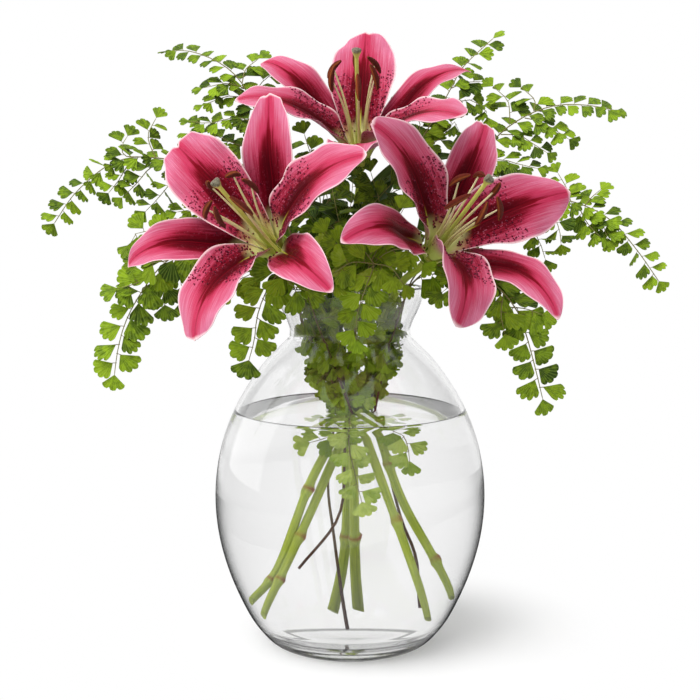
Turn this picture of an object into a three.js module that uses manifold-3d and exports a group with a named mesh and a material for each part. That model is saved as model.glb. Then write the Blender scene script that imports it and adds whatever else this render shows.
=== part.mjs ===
// Three oriental lilies and sprays of maidenhair fern in a clear glass vase of water.
//
// Millimetres, +Z up. The origin is the centre of the vase's underside, and the flowers
// face -Y. Each grown piece is a mesh of its own: the flowers' tepals, pistils and
// stamens, the stems with their leaves, and the fern fronds.

import * as THREE from "three";
import { mergeVertices } from "three/addons/utils/BufferGeometryUtils.js";
import Module from "manifold-3d";

const wasm = await Module();
wasm.setup();

// ---------------------------------------------------------------- driving dimensions

const GAP = 0.35; // left between pieces that touch

const VASE_HEIGHT = 240;
const WALL = 2.8;
const FLOOR = 9.5; // thickness of the glass under the water
const LIP = 1.4; // radius of the rim's rounded edge
const WATER_LEVEL = 157;
const LATHE_SEGMENTS = 28;

// Outside of the vase from its flat underside to just under the lip, as [radius, height].
const VASE_OUTLINE = [
  [50, 0],
  [55.5, 2.6],
  [62, 9.4],
  [68.4, 18.5],
  [76.7, 35.5],
  [83.2, 52.6],
  [88, 71],
  [90.4, 89],
  [90.4, 108],
  [88, 126],
  [83.5, 143],
  [77, 159],
  [67.9, 175],
  [56.1, 191],
  [46, 201],
  [40.8, 206],
  [40.3, 211],
  [42.2, 217.5],
  [46, 225.5],
  [48.7, 233],
  [49.5, 238.6],
];
const FIRST_WALL_POINT = 3; // the outline point where the inner wall begins

// The glass in four rings, one on top of the other, by the heights between which each lies.
const VASE_RINGS = {
  vase_body: [0, 143],
  vase_low_shoulder: [143, 175],
  vase_high_shoulder: [175, 206],
  vase_neck: [206, VASE_HEIGHT],
};

// Rounded corner between the floor and the wall's foot, as [distance in, rise] from them.
const FLOOR_CORNER = [
  [14, 0],
  [6, 3.2],
];

const STEM_RADIUS = 2.8;
const RECEPTACLE_RADIUS = 7.6;
const RECEPTACLE_HEIGHT = 9;
const STRAIGHT_NECK = 9; // length of stem that lines up with its flower

const TEPAL_THICKNESS = 1;
const TEPAL_THROAT = 18; // degrees from the flower's axis at the foot of a tepal
const TEPAL_OPENING = 0.32; // share of its length over which a tepal opens
const INNER_FOOT_RADIUS = 6;
const OUTER_FOOT_RADIUS = 7.6;

const PISTIL_LENGTH = 76;
const PISTIL_RISE = 2.5; // how far its tip curves off the flower's axis
const OVARY_LENGTH = 18;
const OVARY_RADIUS = 2.1;
const STYLE_RADIUS = 1.3;
const STIGMA_RADIUS = 3.2;
const FILAMENT_RADIUS = 0.8;
const FILAMENT_RING = 4.1;
const ANTHER_LENGTH = 17;
const ANTHER_RADIUS = 1.7;

const STIPE_RADIUS = 0.9;
const TWIG_RADIUS = 0.6;
const TWIG_BARE = 0.45; // share of a twig that carries no leaflets
const LEAFLET_LENGTH = 16;
const LEAFLET_WIDTH = 14;
const LEAFLET_THICKNESS = 0.8;
const LEAFLET_SPACING = 21;
const LEAFLET_ROOT = 0.5; // its point is sunk this far into the branch

// ------------------------------------------------------------------------- materials

const FINISHES = {
  glass: { color: 0xf4f8f8, roughness: 0.04, metalness: 0, transparent: true, opacity: 0.3 },
  water: { color: 0xe4efee, roughness: 0.03, metalness: 0, transparent: true, opacity: 0.35 },
  stem: { color: 0x76a043, roughness: 0.5, metalness: 0 },
  tepal: { color: 0xbb3a63, roughness: 0.45, metalness: 0 },
  pistil: { color: 0xa9b34a, roughness: 0.4, metalness: 0 },
  stamen: { color: 0x9a7a45, roughness: 0.7, metalness: 0 },
  fern: { color: 0x6c8d24, roughness: 0.6, metalness: 0 },
};

// --------------------------------------------------------------------- small helpers

const vector = ([x, y, z]) => new THREE.Vector3(x, y, z);

const clamp = (x) => Math.min(1, Math.max(0, x));

const smooth = (x) => clamp(x) ** 2 * (3 - 2 * clamp(x));

const degrees = THREE.MathUtils.degToRad;

// A closed geometry as a solid that can be joined and cut.
function solidOf(geometry) {
  const bare = geometry.clone();
  bare.deleteAttribute("normal");
  bare.deleteAttribute("uv");
  const merged = mergeVertices(bare, 1e-4);
  const corners = merged.index.array;
  const kept = [];
  for (let i = 0; i < corners.length; i += 3) {
    const [a, b, c] = corners.subarray(i, i + 3);
    if (a !== b && b !== c && c !== a) kept.push(a, b, c);
  }
  return new wasm.Manifold(
    new wasm.Mesh({
      numProp: 3,
      vertProperties: merged.attributes.position.array,
      triVerts: new Uint32Array(kept),
    }),
  );
}

function joined(solids) {
  return solids.reduce((whole, solid) => whole.add(solid));
}

function boxesMeet(a, b) {
  const [p, q] = [a.boundingBox(), b.boundingBox()];
  return [0, 1, 2].every((i) => p.min[i] <= q.max[i] && q.min[i] <= p.max[i]);
}

function largestBody(solid) {
  return solid.decompose().reduce((best, body) => (body.volume() > best.volume() ? body : best));
}

// A round tube along a smooth curve through the points.
function tube(points, radius, sides, steps) {
  const path = new THREE.CatmullRomCurve3(points);
  const section = new THREE.Shape();
  for (let i = 0; i < sides; i++) {
    const turn = (i / sides) * 2 * Math.PI;
    const [x, y] = [radius * Math.cos(turn), radius * Math.sin(turn)];
    if (i === 0) section.moveTo(x, y);
    else section.lineTo(x, y);
  }
  section.closePath();
  return solidOf(new THREE.ExtrudeGeometry(section, { extrudePath: path, steps }));
}

// A thin blade: a box of 2 x 1 x 1 whose points go to place(across, along, side).
function blade(cellsAcross, cellsAlong, place) {
  const geometry = new THREE.BoxGeometry(2, 1, 1, cellsAcross, cellsAlong, 1);
  const position = geometry.attributes.position;
  const point = new THREE.Vector3();
  for (let i = 0; i < position.count; i++) {
    point.fromBufferAttribute(position, i);
    point.copy(place(-point.x, point.y + 0.5, point.z));
    position.setXYZ(i, point.x, point.y, point.z);
  }
  return solidOf(geometry);
}

// Moves a geometry that stands on the origin along +Z to a place, along a direction.
function aim(geometry, place, direction) {
  const turn = new THREE.Quaternion().setFromUnitVectors(new THREE.Vector3(0, 0, 1), direction);
  return geometry.applyQuaternion(turn).translate(place.x, place.y, place.z);
}

// ------------------------------------------------------------------ vase and water

// Points of the inner wall, `inset` millimetres inside the outline.
function innerWall(inset) {
  const points = VASE_OUTLINE.map(([r, z]) => new THREE.Vector2(r, z));
  return points.slice(FIRST_WALL_POINT).map((point, i) => {
    const before = points[FIRST_WALL_POINT + i - 1];
    const after = points[FIRST_WALL_POINT + i + 1] ?? point;
    const along = after.clone().sub(before).normalize();
    return new THREE.Vector2(point.x - along.y * inset, point.y + along.x * inset);
  });
}

function lathe(profile) {
  return solidOf(new THREE.LatheGeometry(profile, LATHE_SEGMENTS).rotateX(Math.PI / 2));
}

// The inside of the floor, from the axis out to the rounded corner under the wall's foot.
function innerFloor(foot, height) {
  const corner = FLOOR_CORNER.map(([inwards, rise]) => new THREE.Vector2(foot.x - inwards, height + rise));
  return [new THREE.Vector2(0, height), ...corner];
}

function vase(grow) {
  const outside = VASE_OUTLINE.map(([r, z]) => new THREE.Vector2(r + (z > 0 ? grow : 0), z));
  const inside = innerWall(WALL + grow);
  const lip = [45, 90, 135].map((angle) => {
    const centre = new THREE.Vector2(VASE_OUTLINE.at(-1)[0] - LIP, VASE_HEIGHT - LIP);
    const turn = degrees(angle);
    return centre.add(new THREE.Vector2(Math.cos(turn), Math.sin(turn)).multiplyScalar(LIP + grow));
  });
  return lathe([
    new THREE.Vector2(0, 0),
    ...outside,
    ...lip,
    ...inside.toReversed(),
    ...innerFloor(inside[0], FLOOR + grow).toReversed(),
  ]);
}

function vaseRing([low, high], grow) {
  return vase(grow).trimByPlane([0, 0, 1], low - grow).trimByPlane([0, 0, -1], -high - grow);
}

function water() {
  const wall = innerWall(WALL + GAP);
  const below = wall.filter((point) => point.y < WATER_LEVEL);
  const above = wall[below.length];
  const edge = below.at(-1).clone();
  edge.lerp(above, (WATER_LEVEL - edge.y) / (above.y - edge.y));
  return lathe([
    ...innerFloor(below[0], FLOOR + GAP),
    ...below,
    edge,
    new THREE.Vector2(0, WATER_LEVEL),
  ]);
}

// --------------------------------------------------------------------------- flowers

// Each flower: the foot of its tepals, the way it faces (degrees to the right of -Y and
// above level), and its tepals as [whorl, azimuth, bend, length, width, opening angle,
// recurve angle, roll, channel at the foot, channel at the tip]. Angles are degrees, the
// azimuth counted round the flower's axis from its right-hand side.
const FLOWERS = {
  left: {
    foot: [-47, -48.5, 266],
    yaw: -28,
    pitch: 30,
    tepals: [
      ["inner", 142, 0, 97, 47, 60, 99, -3, 1.0, 0.3],
      ["outer", 87, 8, 96, 35, 58, 107, 11, 0.8, 0.2],
      ["inner", 33, -7, 98, 45, 51, 101, -19, 0.6, 0.0],
      ["outer", 330, -3, 97, 32, 55, 108, -3, 0.7, 0.3],
      ["inner", 256, 10, 95, 47, 53, 104, 22, 0.9, -0.3],
      ["outer", 196, 4, 98, 31, 56, 129, -2, 0.6, 0.4],
    ],
  },
  right: {
    foot: [51.5, -47.5, 264],
    yaw: 28,
    pitch: 34,
    tepals: [
      ["inner", 128, 10, 96, 47, 44, 78, 10, 0.9, 0.1],
      ["outer", 61, -3, 96, 32, 59, 110, -3, 0.8, 0.2],
      ["inner", 14, -4, 95, 45, 62, 81, 7, 0.8, -0.5],
      ["outer", 308, -18, 100, 31, 49, 91, 2, 0.4, 0.0],
      ["inner", 253, -6, 97, 42, 47, 117, -28, 1.1, 0.0],
      ["outer", 181, 10, 96, 32, 58, 104, 3, 0.4, 0.1],
    ],
  },
  top: {
    foot: [6, 6, 325],
    yaw: -3,
    pitch: 57,
    tepals: [
      ["inner", 88, 0, 97, 46, 60, 77, -7, 0.9, -0.1],
      ["outer", 148, -8, 100, 30, 50, 117, -7, 0.8, 0.3],
      ["inner", 187, 3, 94, 46, 45, 101, 10, 0.5, 0.0],
      ["outer", 31, 3, 101, 29, 53, 123, -4, 0.5, 0.2],
      ["inner", 330, -7, 99, 46, 47, 87, -5, 0.8, -0.1],
      ["outer", 269, -2, 95, 33, 54, 100, 0, 0.8, 0.1],
    ],
  },
};

// Shape of each whorl: the widest place along the tepal, the width of its foot as a share
// of the full width, and the two powers that shape its tip.
const WHORLS = {
  inner: { footRadius: INNER_FOOT_RADIUS, widest: 0.56, foot: 0.2, blunt: 2.3, round: 0.62 },
  outer: { footRadius: OUTER_FOOT_RADIUS, widest: 0.52, foot: 0.24, blunt: 2.0, round: 0.75 },
};
const TEPAL_CELLS_ACROSS = 4;
const TEPAL_CELLS_ALONG = 7;
const SPINE_STEPS = 42; // a whole number of steps to each cell along
const TIP_HALF_WIDTH = 0.9;

// The flower's own directions: w along its axis, u to its right and v up across it.
function flowerFrame({ foot, yaw, pitch }) {
  const [turn, rise] = [degrees(yaw), degrees(pitch)];
  const w = new THREE.Vector3(
    Math.sin(turn) * Math.cos(rise),
    -Math.cos(turn) * Math.cos(rise),
    Math.sin(rise),
  );
  const u = new THREE.Vector3(0, 0, 1).cross(w).normalize();
  const v = w.clone().cross(u);
  return { foot: vector(foot), u, v, w };
}

// A point of the flower at a radius and azimuth about its axis, `height` along it.
function flowerPoint({ foot, u, v, w }, radius, azimuth, height) {
  return foot
    .clone()
    .addScaledVector(u, radius * Math.cos(azimuth))
    .addScaledVector(v, radius * Math.sin(azimuth))
    .addScaledVector(w, height);
}

// The middle line of a tepal, with its side and face directions at each step.
function tepalSpine(frame, [whorl, azimuth, bend, length, , opening, recurve, roll]) {
  const { footRadius } = WHORLS[whorl];
  const lean = (s) => {
    const opened = (opening - TEPAL_THROAT) * smooth(s / TEPAL_OPENING);
    const past = clamp((s - TEPAL_OPENING) / (1 - TEPAL_OPENING));
    return degrees(TEPAL_THROAT + opened + (recurve - opening) * past ** 1.5);
  };
  const spine = [];
  let [radius, height] = [footRadius, 0];
  for (let i = 0; i <= SPINE_STEPS; i++) {
    const s = i / SPINE_STEPS;
    if (i > 0) {
      const middle = lean(s - 0.5 / SPINE_STEPS);
      radius += (length / SPINE_STEPS) * Math.sin(middle);
      height += (length / SPINE_STEPS) * Math.cos(middle);
    }
    const turn = degrees(azimuth + bend * s * s);
    const outward = new THREE.Vector3()
      .addScaledVector(frame.u, Math.cos(turn))
      .addScaledVector(frame.v, Math.sin(turn));
    const face = new THREE.Vector3()
      .addScaledVector(outward, -Math.cos(lean(s)))
      .addScaledVector(frame.w, Math.sin(lean(s)));
    spine.push({ point: flowerPoint(frame, radius, turn, height), face });
  }
  return spine.map(({ point, face }, i) => {
    const before = spine[Math.max(0, i - 1)].point;
    const after = spine[Math.min(SPINE_STEPS, i + 1)].point;
    const along = after.clone().sub(before).normalize();
    const side = face.clone().cross(along).normalize();
    const twist = degrees(roll) * (i / SPINE_STEPS);
    side.applyAxisAngle(along, twist);
    return { point, side, face: along.clone().cross(side) };
  });
}

function tepal(frame, row, grow) {
  const [whorl, , , , width, , , , channelFoot, channelTip] = row;
  const { widest, foot, blunt, round } = WHORLS[whorl];
  const spine = tepalSpine(frame, row);
  return blade(TEPAL_CELLS_ACROSS, TEPAL_CELLS_ALONG, (across, along, side) => {
    const { point, side: sideways, face } = spine[Math.round(along * SPINE_STEPS)];
    const rise = foot + (1 - foot) * Math.sin((Math.PI / 2) * clamp(along / widest));
    const taper = (1 - clamp((along - widest) / (1 - widest)) ** blunt) ** round;
    const half = Math.max(TIP_HALF_WIDTH, (width / 2) * rise * taper) + grow;
    const channel = channelFoot + (channelTip - channelFoot) * smooth(along) || 1e-3;
    const thickness = TEPAL_THICKNESS + 2 * grow;
    return point
      .clone()
      .addScaledVector(sideways, (half * Math.sin(channel * across)) / channel)
      .addScaledVector(face, (half * (1 - Math.cos(channel * across))) / channel)
      .addScaledVector(face, thickness * side);
  });
}

function pistil(frame, grow) {
  const path = [0, 0.3, 0.6, 1].map((share) =>
    flowerPoint(frame, PISTIL_RISE * share ** 2, Math.PI / 2, GAP + PISTIL_LENGTH * share),
  );
  const radii = [0.8 * OVARY_RADIUS + grow, OVARY_RADIUS + grow];
  const ovary = new THREE.CylinderGeometry(radii[0], radii[1], OVARY_LENGTH, 6);
  ovary.rotateX(Math.PI / 2).translate(0, 0, OVARY_LENGTH / 2 + GAP);
  const stigma = new THREE.SphereGeometry(STIGMA_RADIUS + grow, 6, 4).scale(1, 1, 0.7);
  return joined([
    tube(path, STYLE_RADIUS + grow, 5, 5),
    solidOf(aim(ovary, frame.foot, frame.w)),
    solidOf(aim(stigma, path.at(-1), frame.w)),
  ]);
}

// Each stamen stands over one tepal. `reach` is how far its tip leans out.
const STAMEN_HEIGHT = 62;
const STAMEN_REACHES = [11, 12.5, 12, 10, 8.5, 10.5];
const STAMEN_TURN = 7; // degrees off the middle of its tepal
const ANTHER_TILTS = [35, 55, 25, 50, 30, 60]; // degrees between anther and filament

function stamen(frame, azimuth, index, grow) {
  const turn = degrees(azimuth + STAMEN_TURN);
  const reach = STAMEN_REACHES[index];
  const height = STAMEN_HEIGHT - 2 * (index % 3);
  const at = (share) =>
    flowerPoint(frame, FILAMENT_RING + reach * share ** 2, turn, GAP + height * share);
  const path = [0, 0.35, 0.7, 1].map(at);
  const tip = path.at(-1);
  const along = tip.clone().sub(path.at(-2)).normalize();
  const sideways = along.clone().cross(frame.w).normalize();
  along.applyAxisAngle(sideways, degrees(ANTHER_TILTS[index]));
  const anther = new THREE.SphereGeometry(ANTHER_RADIUS + grow, 6, 5);
  anther.rotateX(Math.PI / 2).scale(1, 1, (ANTHER_LENGTH / 2 + grow) / (ANTHER_RADIUS + grow));
  return joined([tube(path, FILAMENT_RADIUS + grow, 4, 4), solidOf(aim(anther, tip, along))]);
}

// ----------------------------------------------------------------------------- stems

// Each stem from its cut end in the water to its top. The flower stems run on to the
// foot of their flower, and the leafy ones end above the vase's mouth.
const STEMS = {
  left: [
    [62, -26, 36], [43, -14, 68], [26, -8, 101], [9, -5, 158],
    [-3, -7, 190], [-14, -10, 215], [-26, -20, 238],
  ],
  right: [
    [-62, -30, 35], [-41, -22, 57], [-20, -10, 111], [4, 4, 158],
    [18, 1, 205], [26, -7, 228], [35, -20, 245],
  ],
  top: [
    [3.5, 60, 22], [2.3, 38, 54], [2, 18, 90], [1, 13, 158],
    [1, 16, 210], [3, 18, 260], [4.5, 18, 293],
  ],
  leafy_left: [
    [48, -42, 26], [24, -22, 91], [9, -12, 134], [1, -9, 158],
    [-22, -2, 208], [-30, 2, 252],
  ],
  leafy_right: [
    [-54, -37, 27], [-37, -28, 59], [-20, -12, 94], [-7, 0, 124], [9, 9, 158],
    [26, 10, 210], [34, 12, 252],
  ],
  leafy_back: [
    [-7.5, 57, 22], [-2.3, 42, 62], [-1.4, 27, 100], [-5, 20, 158],
    [-10, 22, 210], [-15, 27, 262],
  ],
};

function leafyStem(points, grow) {
  return tube(points.map(vector), STEM_RADIUS + grow, 7, 14);
}

// A flower's stem widens at its end into the receptacle that carries the tepals.
function flowerStem(points, frame, grow) {
  const end = flowerPoint(frame, 0, 0, -RECEPTACLE_HEIGHT);
  const before = flowerPoint(frame, 0, 0, -RECEPTACLE_HEIGHT - STRAIGHT_NECK);
  const radii = [STEM_RADIUS + grow, RECEPTACLE_RADIUS + grow];
  const receptacle = new THREE.CylinderGeometry(radii[1], radii[0], RECEPTACLE_HEIGHT + grow, 10);
  receptacle.rotateX(Math.PI / 2).translate(0, 0, RECEPTACLE_HEIGHT / 2 + grow / 2 - GAP);
  return joined([
    tube([...points.map(vector), before, end], STEM_RADIUS + grow, 7, 16),
    solidOf(aim(receptacle, end, frame.w)),
  ]);
}

// ---------------------------------------------------------------------------- leaves

// Lance-shaped leaves that grow from the top flower's stem, each by its foot in the stem,
// its middle and its tip, and the way its face looks.
const LEAF_HALF_WIDTH = 6;
const LEAF_THICKNESS = 0.8;
const LEAVES = [
  { line: [[5.5, 18.5, 296], [40, 28, 322], [79, 30, 328]], face: [0.3, -0.6, 0.74] },
  { line: [[5, 17.5, 282], [22, 10, 301], [30, 4, 311]], face: [-0.5, -0.8, 0.3] },
  { line: [[2, 17, 262], [-12, 6, 286], [-28, -2, 297]], face: [0.5, -0.7, 0.5] },
];

function leaf({ line, face }, grow) {
  const curve = new THREE.CatmullRomCurve3(line.map(vector));
  const up = vector(face).normalize();
  return blade(2, 6, (across, along, side) => {
    const point = curve.getPoint(along);
    const sideways = up.clone().cross(curve.getTangent(along)).normalize();
    const normal = curve.getTangent(along).cross(sideways);
    const half = Math.max(0.8, LEAF_HALF_WIDTH * Math.sin(Math.PI * (0.12 + 0.86 * along))) + grow;
    return point
      .addScaledVector(sideways, half * across)
      .addScaledVector(normal, 0.25 * half * across ** 2 + (LEAF_THICKNESS + 2 * grow) * side);
  });
}

// ----------------------------------------------------------------------------- ferns

// Each frond's stipe runs from its lower end through the vase's neck to the frond's tip,
// and `bare` is the share of it that carries no leaflets. Its twigs follow.
const FRONDS = {
  upper_left: {
    bare: 0.52,
    stipe: [[-9, 12, 150], [-24, 18, 210], [-28, 24, 240], [-45, 28, 287], [-57, 30, 331], [-66, 30, 361],
      [-75, 30, 378], [-88, 30, 389], [-109, 30, 397], [-122, 30, 397]],
    twigs: [
      [[-71, 30, 372], [-82, 26, 375], [-98, 24, 372]],
      [[-66, 30, 361], [-79, 28, 367], [-98, 24, 361]],
      [[-66, 30, 361], [-62, 38, 375], [-52, 40, 384]],
      [[-57, 30, 331], [-75, 22, 352], [-106, 16, 349]],
      [[-57, 30, 331], [-72, 24, 333], [-102, 18, 346]],
    ],
  },
  left: {
    bare: 0.5,
    stipe: [[-10, -4, 150], [-31, 3, 210], [-38, 6, 240], [-47, 8, 272], [-71, 10, 300], [-97, 8, 320],
      [-125, 4, 324], [-140, 2, 325], [-158, 0, 320], [-181, -2, 301], [-194, -5, 282]],
    twigs: [
      [[-140, 2, 325], [-151, 6, 332], [-148, 8, 338]],
      [[-128, 4, 324], [-134, 9, 340], [-129, 10, 350]],
      [[-140, 2, 324], [-151, -5, 310], [-157, -8, 302]],
      [[-126, 4, 322], [-139, -6, 308], [-148, -8, 299]],
      [[-97, 8, 320], [-118, -4, 307], [-133, -8, 290]],
      [[-71, 10, 300], [-90, 0, 297], [-112, -10, 289]],
    ],
  },
  lower_left: {
    bare: 0.62,
    stipe: [[-28, -35, 64], [-6, -20, 92], [-3, -15, 125], [-4, -14, 158], [-28, -13, 210], [-40, -16, 245],
      [-75, -22, 261], [-100, -26, 265], [-117, -28, 258], [-134, -31, 237], [-144, -33, 218],
      [-149, -34, 200], [-151, -35, 186]],
    twigs: [
      [[-132, -31, 245], [-138, -33, 243], [-146, -35, 241]],
      [[-122, -29, 252], [-121, -25, 240], [-120, -24, 231]],
      [[-100, -26, 265], [-111, -20, 257], [-109, -17, 234]],
      [[-100, -26, 265], [-120, -20, 274], [-142, -18, 269]],
    ],
  },
  front_left: {
    bare: 0.55,
    stipe: [[4, -16, 150], [-18, -25, 210], [-30, -34, 243], [-42, -46, 253], [-52, -48, 240],
      [-58, -50, 224], [-60, -50, 209], [-63, -50, 198]],
    twigs: [
      [[-42, -46, 253], [-54, -42, 251], [-73, -40, 244]],
      [[-42, -46, 253], [-37, -54, 244], [-28, -58, 241]],
    ],
  },
  front: {
    bare: 0.74,
    stipe: [[-1, 46, 16], [-8, 20, 75], [-11, 8, 104], [-9, 4, 130], [-7, 3, 158], [2, -26, 205],
      [6, -38, 243], [15, -56, 256], [10, -62, 244], [7, -63, 235], [4, -62, 224], [4, -60, 211]],
    twigs: [
      [[15, -56, 257], [1, -58, 258], [-9, -60, 252]],
      [[15, -56, 257], [25, -62, 255], [32, -64, 246]],
      [[15, -56, 257], [6, -50, 267], [-7, -48, 269]],
    ],
  },
  lower_right: {
    bare: 0.5,
    stipe: [[15, -8, 150], [28, -14, 210], [42, -22, 245], [66, -34, 257], [82, -38, 251], [97, -40, 238],
      [106, -42, 226], [111, -43, 213], [117, -44, 192], [122, -45, 172]],
    twigs: [
      [[101, -41, 230], [111, -40, 228], [120, -40, 225]],
      [[97, -40, 238], [95, -46, 224], [97, -48, 214]],
      [[82, -38, 251], [70, -44, 248], [59, -48, 240]],
      [[82, -38, 251], [95, -30, 248], [109, -26, 242]],
    ],
  },
  right: {
    bare: 0.6,
    stipe: [[32, 20, 32], [32, 10, 63], [26, -5, 88], [18, -2, 125], [15, 0, 158], [32, 2, 210],
      [42, 3, 245], [69, 4, 270], [99, 6, 287], [125, 4, 297], [146, 2, 296], [170, -2, 285],
      [188, -6, 265], [203, -8, 244]],
    twigs: [
      [[146, 2, 296], [144, 8, 305], [139, 10, 314]],
      [[155, 0, 293], [161, 6, 299], [166, 8, 303]],
      [[151, 2, 294], [157, -6, 280], [164, -8, 273]],
      [[125, 4, 297], [132, -4, 289], [138, -10, 269]],
      [[125, 4, 297], [117, -2, 282], [128, -8, 259]],
    ],
  },
  upper_right: {
    bare: 0.52,
    stipe: [[15, 8, 150], [31, 13, 210], [38, 18, 243], [57, 22, 284], [81, 24, 317], [102, 25, 342],
      [118, 25, 353], [133, 25, 359], [146, 25, 361], [164, 25, 360], [179, 25, 357]],
    twigs: [
      [[109, 25, 348], [108, 28, 360], [98, 32, 373]],
      [[125, 25, 356], [125, 28, 364], [117, 30, 372]],
      [[118, 25, 352], [134, 20, 346], [146, 18, 338]],
      [[102, 25, 341], [114, 20, 340], [131, 16, 329]],
      [[81, 24, 317], [100, 18, 324], [124, 12, 318]],
      [[81, 24, 317], [93, 14, 313], [119, 8, 307]],
    ],
  },
  top_right: {
    bare: 0.6,
    stipe: [[6, 17, 150], [4, 28, 210], [8, 32, 245], [20, 36, 297], [44, 38, 331], [61, 38, 358],
      [69, 38, 373], [77, 38, 387], [97, 38, 406]],
    twigs: [
      [[61, 38, 358], [81, 34, 365], [90, 28, 350]],
      [[44, 38, 331], [61, 34, 338], [74, 30, 344]],
      [[44, 38, 331], [48, 44, 352], [37, 48, 363]],
    ],
  },
  middle: {
    bare: 0.36,
    stipe: [[-11, 8, 150], [-14, 29, 206], [-17, 38, 243], [-20, 38, 290], [-23, 38, 314], [-31, 34, 341]],
    twigs: [
      [[-20, 38, 290], [-4, 30, 311], [-1, 26, 321]],
      [[-16, 37, 238], [-30, 54, 262], [-44, 66, 268]],
      [[-16, 37, 238], [0, 58, 268], [8, 76, 276]],
      [[-20, 38, 290], [-36, 46, 304], [-46, 50, 318]],
    ],
  },
};

const TOWARDS_LIGHT = new THREE.Vector3(0, -0.82, 0.57);

// A leaflet is a flattened cone: it fans out from its stalk to a broad outer edge.
function leaflet(place, direction, size, grow) {
  const fan = new THREE.ConeGeometry(1, 1, 4).rotateZ(Math.PI / 2).translate(0.5, 0, 0);
  const reach = LEAFLET_LENGTH * size + grow;
  fan.scale(reach, (LEAFLET_WIDTH * size) / 2 + 2 * grow, LEAFLET_THICKNESS / 2 + 2 * grow);
  fan.translate(-LEAFLET_ROOT - grow, 0, 0);
  const normal = TOWARDS_LIGHT.clone().addScaledVector(direction, -TOWARDS_LIGHT.dot(direction));
  normal.normalize();
  const across = normal.clone().cross(direction);
  fan.applyMatrix4(new THREE.Matrix4().makeBasis(direction, across, normal).setPosition(place));
  return solidOf(fan);
}

// Leaflets on alternate sides of a branch, smaller towards its tip.
function leaflets(points, bare, grow) {
  const curve = new THREE.CatmullRomCurve3(points);
  const length = curve.getLength();
  const solids = [];
  const count = Math.max(1, Math.round((length * (1 - bare)) / LEAFLET_SPACING));
  for (let i = 0; i <= count; i++) {
    const share = bare + (1 - bare) * (i / count) - (i === count ? 0.001 : 0);
    const along = curve.getTangentAt(share);
    const sideways = TOWARDS_LIGHT.clone().cross(along).normalize();
    const direction = along.clone().multiplyScalar(0.55);
    if (i < count) direction.addScaledVector(sideways, i % 2 === 0 ? 1 : -1);
    direction.normalize();
    solids.push(leaflet(curve.getPointAt(share), direction, 1 - 0.35 * (i / count), grow));
  }
  return solids;
}

function frond({ bare, stipe, twigs }, grow) {
  const main = stipe.map(vector);
  const solids = [tube(main, STIPE_RADIUS + grow, 4, main.length + 4)];
  solids.push(...leaflets(main, bare, grow));
  for (const twig of twigs.map((points) => points.map(vector))) {
    solids.push(tube(twig, TWIG_RADIUS + grow, 4, 2));
    solids.push(...leaflets(twig, TWIG_BARE, grow));
  }
  return largestBody(joined(solids));
}

// -------------------------------------------------------------------------- assembly

// Every piece as [name, finish, build], where build(grow) makes its solid with `grow`
// millimetres added all round. A piece gives way to the pieces before it.
const pieces = Object.entries(VASE_RINGS).map(([name, heights]) => {
  return [name, "glass", (grow) => vaseRing(heights, grow)];
});

for (const [flower, row] of Object.entries(FLOWERS)) {
  const frame = flowerFrame(row);
  const leaves = flower === "top" ? LEAVES : [];
  pieces.push([
    `stem_${flower}_lily`,
    "stem",
    (grow) => joined([flowerStem(STEMS[flower], frame, grow), ...leaves.map((row) => leaf(row, grow))]),
  ]);
  pieces.push([`pistil_${flower}`, "pistil", (grow) => pistil(frame, grow)]);
  row.tepals.forEach(([, azimuth], i) => {
    pieces.push([`stamen_${flower}_${i + 1}`, "stamen", (grow) => stamen(frame, azimuth, i, grow)]);
  });
  for (const whorl of ["inner", "outer"]) {
    const rows = row.tepals.filter(([kind]) => kind === whorl);
    rows.forEach((tepalRow, i) => {
      const name = `tepal_${flower}_${whorl}_${i + 1}`;
      pieces.push([name, "tepal", (grow) => tepal(frame, tepalRow, grow)]);
    });
  }
}
for (const name of ["leafy_left", "leafy_right", "leafy_back"]) {
  pieces.push([`stem_${name}`, "stem", (grow) => leafyStem(STEMS[name], grow)]);
}
for (const [name, row] of Object.entries(FRONDS)) {
  pieces.push([`fern_${name}`, "fern", (grow) => frond(row, grow)]);
}
pieces.push(["water", "water", water]);

const group = new THREE.Group();
const grown = [];
for (const [name, finish, build] of pieces) {
  let solid = build(0);
  for (const earlier of grown) {
    if (boxesMeet(solid, earlier)) solid = solid.subtract(earlier);
  }
  solid = largestBody(solid);
  if (name !== "water") grown.push(build(GAP));
  const { vertProperties, triVerts } = solid.getMesh();
  const geometry = new THREE.BufferGeometry();
  geometry.setAttribute("position", new THREE.BufferAttribute(vertProperties, 3));
  geometry.setIndex(new THREE.BufferAttribute(triVerts, 1));
  geometry.computeVertexNormals();
  const mesh = new THREE.Mesh(geometry, new THREE.MeshStandardMaterial(FINISHES[finish]));
  mesh.name = name;
  group.add(mesh);
}

export default group;
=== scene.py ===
"""Three oriental lilies with sprays of maidenhair fern, in a clear glass vase of water.

Metres, +Z up. The origin is the centre of the vase's underside, and the flowers face -Y.
The tables below are in millimetres, and each finished mesh is scaled to metres. Every
grown mesh carries two vector attributes: "growth", its own place in millimetres (across,
round or out, and along), and "tone", three shares that its material reads.
"""

import bisect
import functools
import random
from math import copysign, cos, exp, hypot, pi, radians, sin

import bmesh
import bpy
from mathutils import Matrix, Vector, noise


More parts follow.
